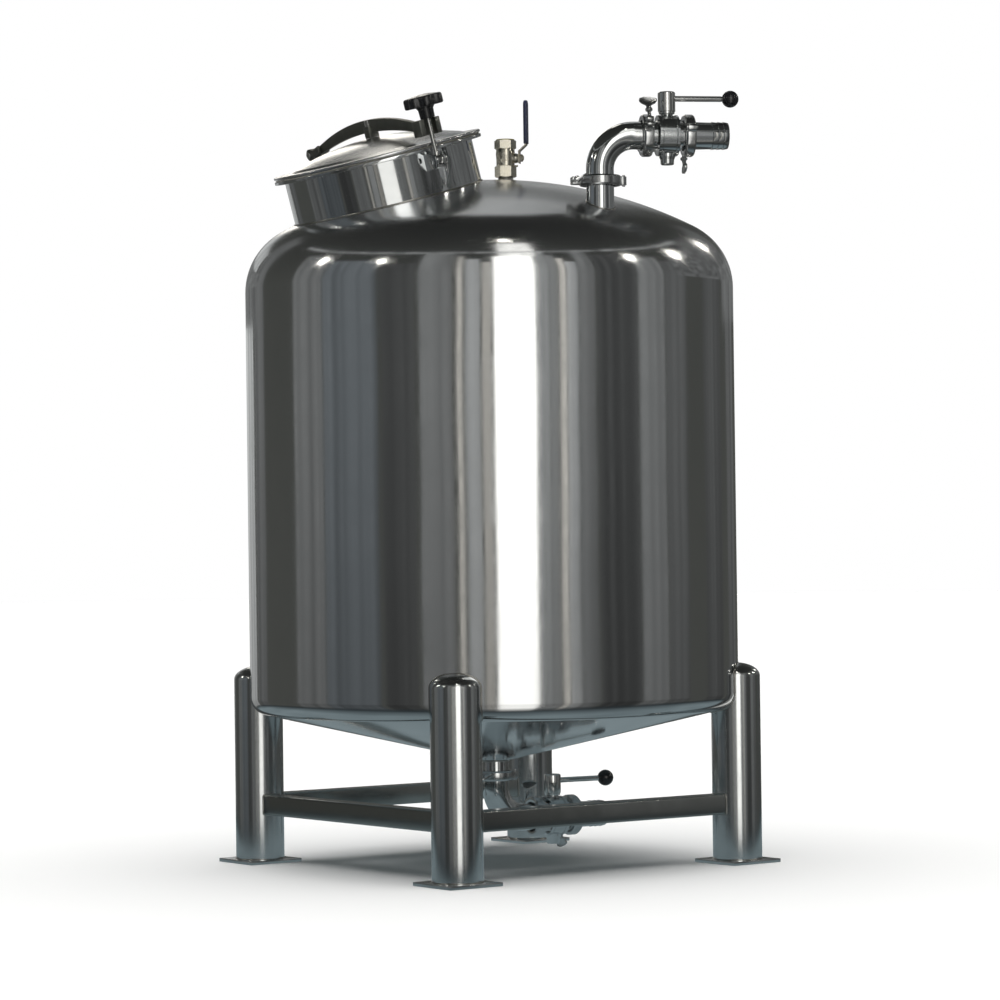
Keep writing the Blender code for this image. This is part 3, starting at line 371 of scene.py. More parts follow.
# %% The finishes of this tank
# Rolled 304 sheet, mirror polished: long clear bands with a faint upright drift.
SHEET = finish_of("mirror_polished_sheet", "polished_stainless", ("#d9dadb", "#cfd1d2"),
                  (0.07, 0.13), 2.0, 0.004, stretch=(1, 1, 12), swell=(260.0, 1.2),
                  duller=(1.31, 1.42, 0.12))
# Turned and polished fittings: bright, with small tight highlights.
FITTING = finish_of("polished_fitting", "polished_stainless", ("#d6d8d9", "#c9cccd"),
                    (0.05, 0.11), 0.8, 0.006)
# Drawn tube, belt polished lengthways: one soft bright line down each leg.
TUBE = finish_of("belt_polished_tube", "satin_stainless", ("#d0d2d2", "#c2c5c6"),
                 (0.12, 0.20), 1.2, 0.010, stretch=(1, 1, 10), swell=(120.0, 0.2))
# Square tube of the braces, belt polished along its length: darker than the legs.
BRACE_STEEL = finish_of("satin_square_tube", "satin_stainless", ("#aaacaa", "#9b9d9a"),
                        (0.12, 0.20), 1.2, 0.002, stretch=(40, 40, 1), swell=(120.0, 0.2))
# Brushed bar of the lid's arm: dull and dark, with lines along its length.
ARM_STEEL = finish_of("brushed_dark_bar", "matt_stainless", ("#8d8e88", "#787a75"),
                      (0.34, 0.48), 0.8, 0.012, stretch=(1, 8, 1))
# Machined and buffed hardware: the brightest pieces.
BUFFED = finish_of("buffed_hardware", "bright_stainless", ("#e4e4e2", "#d5d6d5"),
                   (0.08, 0.14), 0.6, 0.004)
# Investment cast clamps, tumbled: rounded edges with a slightly pebbled gloss.
CASTING = finish_of("tumbled_casting", "cast_stainless", ("#cfd0d0", "#b9bbbc"),
                    (0.14, 0.24), 1.6, 0.030)
# Nickel plate on brass: a warmer white than the steel round it.
NICKEL = finish_of("nickel_plated_brass", "nickel_plate", ("#ded9cc", "#cec9bb"),
                   (0.18, 0.30), 1.0, 0.020)
# Weld metal, brushed after welding: a dull line beside the polish.
WELD = finish_of("brushed_weld", "polished_stainless", ("#b6b5b0", "#94928c"),
                 (0.24, 0.38), 1.5, 0.040)
# Moulded phenolic: black with a soft clear highlight.
PHENOLIC = finish_of("moulded_phenolic", "black_phenolic", ("#17171a", "#101012"),
                     (0.20, 0.30), 0.7, 0.008, metallic=0.0, IOR=1.6)
# Dip moulded vinyl: a rubbery dark blue with a broad weak sheen.
VINYL = finish_of("dipped_vinyl", "blue_vinyl", ("#2d3350", "#262b44"),
                  (0.32, 0.46), 1.0, 0.030, metallic=0.0, IOR=1.53)
# Moulded silicone rubber: off-white, matt, a little light inside.
SILICONE = finish_of("moulded_silicone", "white_rubber", ("#a5a39b", "#97958d"),
                     (0.50, 0.65), 1.2, 0.030, metallic=0.0, IOR=1.41)
# Thread tape: a thin pale wrap that has squeezed out of the joint.
TAPE = finish_of("thread_tape", "white_rubber", ("#aaa55c", "#8f8c48"),
                 (0.45, 0.60), 0.8, 0.060, metallic=0.0, IOR=1.38)

# %% Finishing a piece
CREASE = math.radians(35.0)


def finish(name, bm, body, look, *stands_for):
    """Close cracks, shade round faces smooth, hang the piece on its body and hide what it replaces."""
    bmesh.ops.remove_doubles(bm, verts=bm.verts, dist=SAME_POINT)
    mesh = mesh_from(bm, name)
    mesh.shade_smooth()
    mesh.set_sharp_from_angle(angle=CREASE)
    mesh.materials.append(look)
    piece = object_of(name, mesh)
    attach(piece, body)
    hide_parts(*stands_for)
    mesh.calc_loop_triangles()
    print(f"{name}: {len(mesh.loop_triangles)} triangles")
    return piece


# %% [markdown]
# ## The camera
#
# The photograph was taken with a long lens, a little above half the tank's height. A camera is
# placed by where it stands and by three directions, which suits a view that was measured.

# %% Camera
CAMERA_SPOT = (-4.5541, -6.1884, 0.7134)
CAMERA_RIGHT = (0.80421, -0.59420, -0.01300)
CAMERA_UP = (0.00629, -0.01336, 0.99989)
camera_data = bpy.data.cameras.new("camera")
camera_data.sensor_width = 36.0
camera_data.lens = 122.4
camera_data.shift_x = 0.001
camera_data.shift_y = 0.02182
camera_data.clip_end = 60.0
camera = object_of("camera", camera_data)
camera.matrix_world = axes_at(Vector(CAMERA_SPOT), Vector(CAMERA_RIGHT),
                              Vector(CAMERA_RIGHT).cross(Vector(CAMERA_UP)))
bpy.context.scene.camera = camera
print("camera at", [round(v, 2) for v in camera.matrix_world.translation])

# %% [markdown]
# ## The vessel
#
# The real vessel is a rolled shell between a dished head and a shallow cone, welded and then
# polished until the seams are gone. One profile, spun once, gives that unbroken skin, where
# separate pieces would show a line. The profile's curves are a crown and a knuckle that share a
# tangent, then the straight side, a tight knuckle and the cone. The second half of the profile
# is the same line moved inwards by the sheet's thickness.

# %% The vessel's profile
SHELL_RADIUS, SHEET_THICKNESS = 0.550, 0.004
HEAD_TANGENT, CROWN_RADIUS, HEAD_KNUCKLE = 1.288, 1.020, 0.150
CONE_SLOPE, CONE_TIP, CONE_KNUCKLE = math.radians(13.0), 0.222, 0.040
PIPE_BORE = 0.028

head_reach = CROWN_RADIUS - HEAD_KNUCKLE
head_centre = HEAD_TANGENT - math.sqrt(head_reach ** 2 - (SHELL_RADIUS - HEAD_KNUCKLE) ** 2)
head_meet = math.degrees(math.acos((SHELL_RADIUS - HEAD_KNUCKLE) / head_reach))
base_radius = SHELL_RADIUS - CONE_KNUCKLE
base_tangent = (CONE_TIP + base_radius * math.tan(CONE_SLOPE)
                + CONE_KNUCKLE / math.cos(CONE_SLOPE))


def vessel_line(offset, end_radius):
    """The vessel's outline from the top of the head to the cone, moved out by an offset."""
    crown = arc((0, head_centre), CROWN_RADIUS + offset, 90.0, head_meet, 20)
    knuckle = arc((SHELL_RADIUS - HEAD_KNUCKLE, HEAD_TANGENT), HEAD_KNUCKLE + offset,
                  head_meet, 0.0, 14)
    low_knuckle = arc((base_radius, base_tangent), CONE_KNUCKLE + offset,
                      0.0, math.degrees(CONE_SLOPE) - 90.0, 9)
    tip = CONE_TIP - offset / math.cos(CONE_SLOPE)
    rim = (end_radius, tip + end_radius * math.tan(CONE_SLOPE))
    return [(0.0, crown[0][1])] + crown[1:] + knuckle[1:] + low_knuckle + [rim]


def vessel_normal(point):
    """The outward direction of the true surface at a point on the vessel's skin."""
    flat = Vector((point.x, point.y, 0.0))
    out = flat.normalized()
    if point.z >= HEAD_TANGENT:
        from_crown = point - Vector((0, 0, head_centre))
        if math.degrees(math.asin(from_crown.normalized().z)) > head_meet:
            return from_crown.normalized()
        centre = out * (SHELL_RADIUS - HEAD_KNUCKLE) + Vector((0, 0, HEAD_TANGENT))
        return (point - centre).normalized()
    if point.z >= base_tangent:
        return out
    centre = out * base_radius + Vector((0, 0, base_tangent))
    round_part = (point - centre).normalized()
    cone_part = out * math.sin(CONE_SLOPE) - Vector((0, 0, math.cos(CONE_SLOPE)))
    return cone_part if round_part.z < cone_part.z or flat.length < base_radius else round_part


print("head apex at", round(head_centre + CROWN_RADIUS, 4), "shell from", round(base_tangent, 4))

# %% Spin the vessel and open its holes
TANK_STEPS = 192
INLET_SPOT, OUTLET_SPOT, VENT_SPOT = (0.0, -0.410), (0.0, 0.0), (0.0, -0.068)
NECK_RADIUS, NECK_WALL, VENT_BORE = 0.2125, 0.005, 0.012

skin = vessel_line(0.0, PIPE_BORE) + vessel_line(-SHEET_THICKNESS, PIPE_BORE)[::-1]
manhole = rod(NECK_RADIUS - NECK_WALL, (0, 0, -0.2), (0, 0, 0.1), manway, 96)
inlet_hole = rod(PIPE_BORE, (*INLET_SPOT, 1.3), (*INLET_SPOT, 1.6), steps=48)
vent_hole = rod(VENT_BORE, (*VENT_SPOT, 1.3), (*VENT_SPOT, 1.6), steps=32)
vessel = combined("DIFFERENCE", turned(skin, steps=TANK_STEPS), manhole, inlet_hole, vent_hole)
walls = ["shell_wall_" + side for side in ("front", "right", "back", "left")]
tank = finish("tank_vessel", vessel, "tank", SHEET, *walls, "top_head", "bottom_cone")

# %% [markdown]
# A Boolean cut leaves long thin faces round each hole, and a mirror finish shows them as
# dents. The surface itself is simple, so every face corner on the skin gets the direction of
# the true sphere, ring, cylinder or cone instead of an average of the faces round it.

# %% True normals for the polished skin
corner_normals = [Vector() for _ in tank.data.loops]
for face in tank.data.polygons:
    middle = vessel_normal(face.center)
    facing = face.normal.dot(middle)
    for corner in face.loop_indices:
        spot = tank.data.vertices[tank.data.loops[corner].vertex_index].co
        true = vessel_normal(spot) if Vector((spot.x, spot.y)).length > 0.001 else middle
        sign = 1.0 if facing > 0 else -1.0
        corner_normals[corner] = true * sign if abs(facing) > 0.9 else face.normal.copy()
tank.data.normals_split_custom_set(corner_normals)
print("normals set on", len(corner_normals), "corners")

# %% [markdown]
# ## Legs, foot plates and braces
#
# Each leg is a tube with a domed cap, notched round the vessel's side and welded all round that
# notch. The notch is a Boolean with a vessel that is a hair larger, so the two never touch. The
# weld follows the same curve, worked out from the two round shapes: in under the cone, up one
# side, over the cap and down the other side.

# %% Leg tubes
LEG_RADIUS, LEG_TOP, LEG_CAP, LEG_CIRCLE = 0.055, 0.446, 0.030, 0.545
PLATE_SIDE, PLATE_THICKNESS = 0.136, 0.008
leg_reach = LEG_CIRCLE * math.sqrt(0.5)
corners = {"front_left": (-leg_reach, -leg_reach), "front_right": (leg_reach, -leg_reach),
           "back_right": (leg_reach, leg_reach), "back_left": (-leg_reach, leg_reach)}


def leg_radius_at(height):
    """Radius of the leg, which closes over its elliptical cap."""
    over = max(0.0, height - (LEG_TOP - LEG_CAP)) / LEG_CAP
    return LEG_RADIUS * math.sqrt(max(0.0, 1.0 - over ** 2))


def clear_of_vessel(shape):
    """A shape with the vessel cut out of it, a hair larger than the vessel is."""
    return combined("DIFFERENCE", shape, turned(vessel_line(GAP, 0.0), steps=TANK_STEPS))


def leg_tube(spot):
    cap = [(LEG_RADIUS * math.sin(a), LEG_TOP - LEG_CAP + LEG_CAP * math.cos(a))
           for a in [math.radians(90.0 * i / 14) for i in range(15)]]
    foot = PLATE_THICKNESS + GAP
    return clear_of_vessel(turned(cap + [(LEG_RADIUS, foot), (0.0, foot)], at(*spot, 0), 96))


def leg_seam():
    """The weld's line, with x out along the leg's diagonal from the vessel's axis."""
    skin_radius = SHELL_RADIUS + GAP
    side = []
    for i in range(41):
        height = base_tangent + (LEG_TOP - 0.0006 - base_tangent) * i / 40
        radius = leg_radius_at(height)
        x = (skin_radius ** 2 + LEG_CIRCLE ** 2 - radius ** 2) / (2 * LEG_CIRCLE)
        side.append(Vector((x, math.sqrt(max(0.0, skin_radius ** 2 - x ** 2)), height)))
    start = math.atan2(side[0].y, side[0].x - LEG_CIRCLE)
    under = []
    for i in range(1, 48):
        angle = start + (math.tau - 2 * start) * i / 48
        x, y = LEG_CIRCLE + LEG_RADIUS * math.cos(angle), LEG_RADIUS * math.sin(angle)
        out = math.hypot(x, y)
        drop = max(0.0, out - base_radius)
        on_round = base_tangent - math.sqrt(max(0.0, CONE_KNUCKLE ** 2 - drop ** 2))
        on_cone = CONE_TIP + out * math.tan(CONE_SLOPE)
        flat_edge = base_radius + CONE_KNUCKLE * math.sin(CONE_SLOPE)
        under.append(Vector((x, y, (on_round if out > flat_edge else on_cone) - GAP)))
    mirrored = [Vector((p.x, -p.y, p.z)) for p in side]
    return side[::-1] + under + mirrored[:-1]


seam = leg_seam()
print("a leg's weld is", round(sum((a - b).length for a, b in zip(seam, seam[1:])), 3), "m long")

# %% Legs and foot plates
WELD_RADIUS = 2.0 * MM
for corner, spot in corners.items():
    finish("leg_tube_" + corner, leg_tube(spot), "tank", TUBE, "leg_" + corner)
    turn = Matrix.Rotation(math.atan2(spot[1], spot[0]), 4, "Z")
    foot_ring = circle(LEG_RADIUS, PLATE_THICKNESS, 72)
    welds = [bead(seam, WELD_RADIUS, turn), bead(foot_ring, WELD_RADIUS, at(*spot, 0))]
    finish("leg_weld_" + corner, gathered(welds), "tank", WELD)
    half = PLATE_SIDE / 2
    plate = block((-half, -half, 0), (half, half, PLATE_THICKNESS), at(*spot, 0), 0.8 * MM)
    finish("foot_" + corner, plate, "tank", TUBE, "foot_plate_" + corner)

# %% Braces
BRACE_SIDE, BRACE_CENTRE, BRACE_CORNER = 0.045, 0.1325, 0.005


def brace(name, start, end):
    """A square tube between two legs, notched round both and welded there."""
    start, end = Vector((*start, BRACE_CENTRE)), Vector((*end, BRACE_CENTRE))
    along = end - start
    seat = Matrix.Translation(start) @ along.to_track_quat("X", "Z").to_matrix().to_4x4()
    half = BRACE_SIDE / 2
    square = [(-half, -half), (half, -half), (half, half), (-half, half)]
    outline = rounded(square, BRACE_CORNER, 5, closed=True)
    bar = prism([tuple(p) for p in outline], 0.0, along.length, seat @ UPRIGHT)
    rounds = [rod(LEG_RADIUS + GAP, (p.x, p.y, 0.0), (p.x, p.y, 0.3), steps=96)
              for p in (start, end)]
    finish(name + "_tube", combined("DIFFERENCE", bar, *rounds), "tank", BRACE_STEEL, name)
    dense = []
    for a, b in zip(outline, outline[1:] + outline[:1]):
        steps = max(1, round((b - a).length / 0.003))
        dense += [a.lerp(b, i / steps) for i in range(steps)]
    near = [(math.sqrt(LEG_RADIUS ** 2 - p.x ** 2), p.x, p.y) for p in dense]
    far = [(along.length - x, y, z) for x, y, z in near]
    finish(name + "_weld", gathered([bead(near, WELD_RADIUS, seat), bead(far, WELD_RADIUS, seat)]),
           "tank", WELD)


brace("brace_front", corners["front_left"], corners["front_right"])
brace("brace_left", corners["front_left"], corners["back_left"])
brace("brace_back", corners["back_left"], corners["back_right"])

# %% [markdown]
# ## Manway neck, gasket and lid
#
# The manway is a short rolled neck, leaned to one side so that a hand can reach in, with a
# turned flange. The neck meets the crown square on, so its seam is a true circle. The hinge lug
# and the two bolt lugs are cut from plate and welded on, so they are flat outlines with a soft
# edge, joined to the neck by a Boolean.

# %% Neck and gasket
FLANGE_RADIUS, BOLT_REACH, BOLT_EYE_HEIGHT, HINGE_EYE = 0.2345, 0.2425, 0.049, 0.0135
neck_foot = math.sqrt(CROWN_RADIUS ** 2 - NECK_RADIUS ** 2) - CROWN_RADIUS
on_manway = manway @ UPRIGHT


def pin_hole():
    reach = Vector((0.03, 0, 0))
    centre = Vector((0, -HINGE_REACH, HINGE_HEIGHT))
    return rod(5.6 * MM, centre - reach, centre + reach, manway, 32)


bore = NECK_RADIUS - NECK_WALL
neck_line = rounded([(bore, 0.0794), (FLANGE_RADIUS, 0.0794), (FLANGE_RADIUS, 0.0724),
                     (NECK_RADIUS, 0.0724), (NECK_RADIUS, neck_foot + GAP),
                     (bore, neck_foot + GAP + 0.001)], 1.2 * MM, 3, closed=True)
hinge_outline = [(-bore - 0.003, 0.070), (-bore - 0.003, 0.022), (-0.238, 0.022)]
hinge_outline += arc((-HINGE_REACH, HINGE_HEIGHT), HINGE_EYE, 200.0, -10.0, 20)
hinge_outline += [(-0.240, 0.098), (-0.240, 0.0794), (-0.228, 0.0794)]
parts = [prism(hinge_outline, -0.008, 0.008, on_manway, 0.8 * MM)]
ear_outline = [(bore + 0.003, 0.030)] + arc((BOLT_REACH, BOLT_EYE_HEIGHT), 0.0175, -90, 90, 20)
ear_outline += [(bore + 0.003, 0.066)]
for low, high in ((0.0085, 0.0150), (-0.0150, -0.0085)):
    parts.append(prism(ear_outline, low, high, on_manway, 0.8 * MM))
    tip = high if high > 0 else low
    end = tip + math.copysign(0.004, tip)
    parts.append(rod(7.0 * MM, (tip * 0.9, BOLT_REACH, BOLT_EYE_HEIGHT),
                     (end, BOLT_REACH, BOLT_EYE_HEIGHT), manway, 6, 0.8 * MM))
neck = combined("UNION", turned(neck_line, manway, 160, closed=True), *parts)
finish("manway_neck_ring", combined("DIFFERENCE", neck, pin_hole()), "tank", FITTING, "manway_neck")
neck_seam = circle(NECK_RADIUS, neck_foot, 220)
finish("manway_weld", bead(neck_seam, 2.4 * MM, manway), "tank", WELD)
gasket_line = rounded([(0.2205, 0.0797), (0.2205, 0.0823), (0.2310, 0.0823), (0.2310, 0.0797)],
                      0.9 * MM, 3, closed=True)
finish("manway_seal", turned(gasket_line, manway, 128, closed=True), "tank", SILICONE,
       "manway_gasket")

# %% Lid
LID_TOP, LID_CROWN, LID_SHEET = 0.125, 0.600, 0.0035


def lid_line(offset):
    """The dished lid from its top to the edge of the crown."""
    edge = math.degrees(math.acos(0.165 / LID_CROWN))
    crown = arc((0, LID_TOP - LID_CROWN), LID_CROWN + offset, 90.0, edge, 16)
    return [(0.0, crown[0][1])] + crown[1:]


over, under = lid_line(0.0), lid_line(-LID_SHEET)
shoulder = (0.2035 - 0.0120, over[-1][1] - 0.0075)
edge = rounded([over[-1], shoulder, (0.2035, 0.0893), (FLANGE_RADIUS, 0.0893),
                (FLANGE_RADIUS, 0.0826), (0.2035 - LID_SHEET, 0.0826),
                (shoulder[0] - 0.0025, shoulder[1] - 0.0030), under[-1]], 4.0 * MM, 5)
lid_profile = over[:-1] + [tuple(p) for p in edge] + under[::-1][1:]
finish("manway_cover", turned(lid_profile, manway, 160), "lid", SHEET, "manway_lid")

# %% [markdown]
# ## Arm, bolt and knob
#
# The lid is held down by an arm of two arched plates, hinged at the back. At the front a swing
# bolt stands in the arm's fork, and a lobed hand knob runs down its thread. The stud's thread
# is turned as plain ridges at the real pitch, since the eye can't tell them from a helix here.
# The knob's outline is a circle whose radius dips between the lobes, carried up through a few
# levels so that its rim is round and its top crowned.

# %% Arm
ARM_START, ARM_END = -0.243, 0.226
ARM_HALF, ARM_CREST = 0.006, (-0.008, 0.1658)


def arm_top(y):
    return ARM_CREST[1] - (y - ARM_CREST[0]) ** 2 / 1.4


def arm_side(start, end, steps):
    """The arched bar's side in (y, z), slimmer towards both of its ends."""
    reach = [start + (end - start) * i / steps for i in range(steps + 1)]
    under = [(y, arm_top(y) - 0.0285 + 0.010 * (y / 0.220) ** 2) for y in reach]
    return under + [(y, arm_top(y)) for y in reversed(reach)]


eye = arc((-HINGE_REACH, HINGE_HEIGHT), HINGE_EYE, 55.0, 290.0, 24)
arm_parts = [prism(arm_side(ARM_START, ARM_END, 40), -ARM_HALF, ARM_HALF, on_manway, 1.2 * MM)]
for low, high in ((0.009, 0.015), (-0.015, -0.009)):
    arm_parts.append(prism(arm_side(-0.245, -0.221, 4) + eye, low, high, on_manway, 0.9 * MM))
arm_parts.append(prism(arm_side(ARM_START, -0.227, 4), -0.011, 0.011, on_manway))
arm_parts.append(block((-0.012, -0.0115, LID_TOP + GAP), (0.012, 0.0115, 0.151), manway, 1.5 * MM))
fork = block((-0.0268, 0.214, 0.105), (0.0268, 0.247, 0.1408), manway, 2.0 * MM)
slot = block((-0.0148, 0.228, 0.10), (0.0148, 0.26, 0.15), manway)
arm_parts.append(combined("DIFFERENCE", fork, slot))
arm = combined("UNION", *arm_parts)
finish("lid_arm", combined("DIFFERENCE", arm, pin_hole()), "lid", ARM_STEEL, "manway_arm")

saddle = [(-0.0092, 0.1405), (0.0092, 0.1405), (0.0078, 0.1560), (0.0078, arm_top(0.0) - 0.0012),
          (-0.0078, arm_top(0.0) - 0.0012), (-0.0078, 0.1560)]
cheeks = [prism(saddle, low, high, on_manway, 0.6 * MM)
          for low, high in ((ARM_HALF + GAP, ARM_HALF + 0.0022), (-ARM_HALF - 0.0022, -ARM_HALF - GAP))]
finish("arm_saddle", gathered(cheeks), "lid", BUFFED)

# %% Hinge pin and swing bolt
pin_end = 0.015 + 0.0006
pin_line = [(0, pin_end + 0.003), (0.008, pin_end + 0.003), (0.008, pin_end), (0.005, pin_end)]
pin_line = rounded(pin_line + [(r, -h) for r, h in reversed(pin_line)], 0.7 * MM)
pin_seat = manway @ at(0, -HINGE_REACH, HINGE_HEIGHT) @ ALONG_X
finish("hinge_pin", turned(pin_line, pin_seat, 32), "tank", BUFFED, "manway_hinge_pin")

THREAD_PITCH, STUD_RADIUS = 1.75 * MM, 5.8 * MM
thread = []
for i in range(int((0.1775 - 0.064) / THREAD_PITCH)):
    height = 0.1775 - i * THREAD_PITCH
    thread += [(STUD_RADIUS, height), (STUD_RADIUS, height - 0.3 * MM),
               (STUD_RADIUS - 0.9 * MM, height - THREAD_PITCH / 2)]
stud_line = [(0, 0.178), (STUD_RADIUS - 0.8 * MM, 0.178)] + thread
stud_line += [(STUD_RADIUS, 0.062), (STUD_RADIUS, 0.050), (0, 0.050)]
stud_seat = manway @ at(0, BOLT_REACH, 0)
stud = turned(stud_line, stud_seat, 24)
eye = rod(12.5 * MM, (-0.0065, BOLT_REACH, BOLT_EYE_HEIGHT), (0.0065, BOLT_REACH, BOLT_EYE_HEIGHT),
          manway, 40, 1.0 * MM)
finish("swing_bolt", combined("UNION", stud, eye), "lid", BUFFED, "manway_bolt")

# %% Knob
LOBES, KNOB_RADIUS, KNOB_DIP = 7, 0.0437, 0.007
knob_outline = []
for i in range(LOBES * 20):
    angle = math.tau * i / (LOBES * 20)
    wave = (1.0 - math.cos(LOBES * (angle - math.radians(17.5)))) / 2
    radius = KNOB_RADIUS - KNOB_DIP * wave ** 1.6
    knob_outline.append((radius * math.cos(angle), radius * math.sin(angle)))
knob_levels = [(0.1670, 0.86), (0.1672, 0.93), (0.1682, 0.975), (0.1702, 0.997), (0.1725, 1.0),
               (0.1846, 1.0), (0.1872, 0.985), (0.1890, 0.95), (0.1900, 0.90), (0.1905, 0.80),
               (0.1918, 0.60), (0.1932, 0.40), (0.1940, 0.20)]
head = stacked(knob_outline, knob_levels, stud_seat)
hub_line = rounded([(0, 0.169), (0.0225, 0.169), (0.0168, 0.161), (0.0160, 0.1412), (0, 0.1412)],
                   1.0 * MM)
hub = turned(hub_line, stud_seat, 48)
knob_bore = rod(6.8 * MM, (0, 0, 0.13), (0, 0, 0.1783), stud_seat, 32, 0)
finish("hand_knob", combined("DIFFERENCE", combined("UNION", head, hub), knob_bore), "knob",
       PHENOLIC, "manway_knob")

# %% [markdown]
# ## Vent valve
#
# A small ball valve stands on a threaded nipple beside the top of the head. Its hexagons are
# cut from bar, so their corners are rounded off by the lathe: a hexagonal prism cut by a turned
# cone gives those curved corners. The body is gathered from closed rings, which stays cleaner
# than one long Boolean. The lever is a bent strip, held by a nut, with a dipped grip.

# %% Nipple and body
vent_point, vent_axis = joint_place("vent_lever_turn")
vent_low = at(*VENT_SPOT, 0)
stem_seat = axes_at(Vector((*VENT_SPOT, vent_point.z)), -vent_axis, Vector((0, 0, 1)))
pad_height = head_centre + math.sqrt(CROWN_RADIUS ** 2 - Vector(VENT_SPOT).length ** 2)
HEX_TURN = math.radians(-96.0)


def hexagon(radius, turn=0.0):
    return [(radius * math.cos(turn + math.tau * i / 6), radius * math.sin(turn + math.tau * i / 6))
            for i in range(6)]


def hex_collar(radius, low, high, place, turn=0.0, chamfer=1.6 * MM, hole=0.0):
    """A hexagonal collar whose corners are turned off at both faces."""
    flat = radius * math.cos(math.radians(30.0))
    limit = [(hole, high), (flat, high), (radius + 0.1 * MM, high - chamfer),
             (radius + 0.1 * MM, low + chamfer), (flat, low), (hole, low)]
    return combined("INTERSECT", prism(hexagon(radius, turn), low - 0.001, high + 0.001, place),
                    turned(limit, place, 72, closed=hole > 0))


nipple_line = [(VENT_BORE, 1.5395), (0.0165, 1.5395)]
for i in range(2):
    nipple_line += [(0.0175, 1.5391 - i * 0.0008), (0.0165, 1.5387 - i * 0.0008)]
nipple_line += [(0.0175, pad_height + 0.001), (0.0260, pad_height - 0.001)]
nipple_line += [(0.0260, pad_height - 0.010), (VENT_BORE, pad_height - 0.010)]
nipple = clear_of_vessel(turned(nipple_line, vent_low, 64, closed=True))
finish("vent_stub", nipple, "tank", WELD, "vent_nipple")

STEM_HOLE, CAVITY = 5.7 * MM, 0.0185
shapes = [hex_collar(0.0245, low, high, vent_low, HEX_TURN, hole=VENT_BORE)
          for low, high in ((1.5398, 1.5650), (1.6030, 1.6230))]
barrel_line = rounded([(VENT_BORE, 1.604), (0.0205, 1.604), (0.0215, 1.592), (0.0205, 1.580),
                       (0.0205, 1.564), (VENT_BORE, 1.564)], 2.0 * MM)
cavity_edge = math.degrees(math.acos(VENT_BORE / CAVITY))
barrel_line += arc((0, vent_point.z), CAVITY, -cavity_edge, cavity_edge, 14)
stem_hole = rod(STEM_HOLE, (0, 0, 0), (0.04, 0, 0), stem_seat, 32, 0)
shapes.append(combined("DIFFERENCE", turned(barrel_line, vent_low, 64, closed=True), stem_hole))
boss_line = rounded([(STEM_HOLE, 0.0290), (0.0092, 0.0290), (0.0110, 0.0250), (0.0110, 0.0165),
                     (STEM_HOLE, 0.0165)], 0.6 * MM)
shapes.append(turned(boss_line, stem_seat @ ALONG_X, 48, closed=True))
shapes.append(rod(2.3 * MM, (0.018, 0, -0.0175), (0.0285, 0, -0.0175), stem_seat, 20))
to_front = vent_low @ about("Z", -133.0)
shapes.append(block((0.0190, -0.0052, 1.5755), (0.0224, 0.0052, 1.5885), to_front, 0.5 * MM))
finish("vent_valve_casing", gathered(shapes), "tank", NICKEL, "vent_valve_body")

tape_line = rounded([(0.0140, 1.6233), (0.0204, 1.6233), (0.0212, 1.6241), (0.0200, 1.6250),
                     (0.0140, 1.6250)], 0.4 * MM, 2, closed=True)
finish("thread_tape_wrap", turned(tape_line, vent_low, 48, closed=True), "tank", TAPE)

# %% Lever and sleeve
NEAR, FAR, STRIP, STRIP_HALF, VENT_BALL = 0.0310, 0.0480, 0.0025, 0.009, 0.0168
low_bend, high_bend = 1.598 - vent_point.z, 1.612 - vent_point.z
far_face = FAR - STRIP / 2
lever_top = 1.706 - vent_point.z
strip = [(NEAR + STRIP, -0.012), (NEAR + STRIP, low_bend - STRIP / 2),
         (far_face + STRIP, high_bend - STRIP / 2), (far_face + STRIP, lever_top),
         (far_face, lever_top), (far_face, high_bend), (NEAR, low_bend), (NEAR, -0.012)]
side_on = stem_seat @ about("X", 90.0)
lever_parts = [prism(strip, -STRIP_HALF, STRIP_HALF, side_on, 0.5 * MM)]
face = NEAR + STRIP
lever_parts.append(rod(5.0 * MM, (0.0148, 0, 0), (face + 0.0085, 0, 0), stem_seat, 32))
lever_parts.append(hex_collar(0.0085, face - GAP, face + 0.0065, stem_seat @ ALONG_X, 0.3, 0.8 * MM))
bore_edge = math.degrees(math.acos((VENT_BORE - 0.8 * MM) / VENT_BALL))
ball_line = arc((0, 0), VENT_BALL, -bore_edge, bore_edge, 14)
lever_parts.append(turned(ball_line, stem_seat, 40, closed=True))
finish("vent_lever_strip", combined("UNION", *lever_parts), "vent_lever", NICKEL,
       "vent_valve_lever")

sleeve_half, sleeve_low, sleeve_top = 0.0115, 1.613 - vent_point.z, 1.7115 - vent_point.z
sleeve_outline = [(-0.0105, sleeve_low), (0.0105, sleeve_low), (sleeve_half, sleeve_low + 0.012)]
sleeve_outline += arc((0.0, sleeve_top - sleeve_half), sleeve_half, 0.0, 180.0, 20)
sleeve_outline += [(-sleeve_half, sleeve_low + 0.012)]
on_lever = stem_seat @ at(FAR, 0, 0) @ UPRIGHT
sleeve = prism(sleeve_outline, -0.00375, 0.00375, on_lever, 1.6 * MM)
pocket = block((-STRIP_HALF - GAP, sleeve_low - 0.01, -STRIP / 2 - GAP),
               (STRIP_HALF + GAP, lever_top + GAP, STRIP / 2 + GAP), on_lever)
finish("lever_grip", combined("DIFFERENCE", sleeve, pocket), "vent_lever", VINYL,
       "vent_lever_sleeve")

# %% [markdown]
# ## Pipe fittings
#
# The inlet and the outlet carry the same set: a stub, an elbow, a butterfly valve and a hose
# tail, held by three hinged clamps. Each clamp squeezes two tapered lips together. All of it is
# turned about its own axis, so one function per piece makes it in its own axes, and the set is
# placed twice, upside down for the outlet.

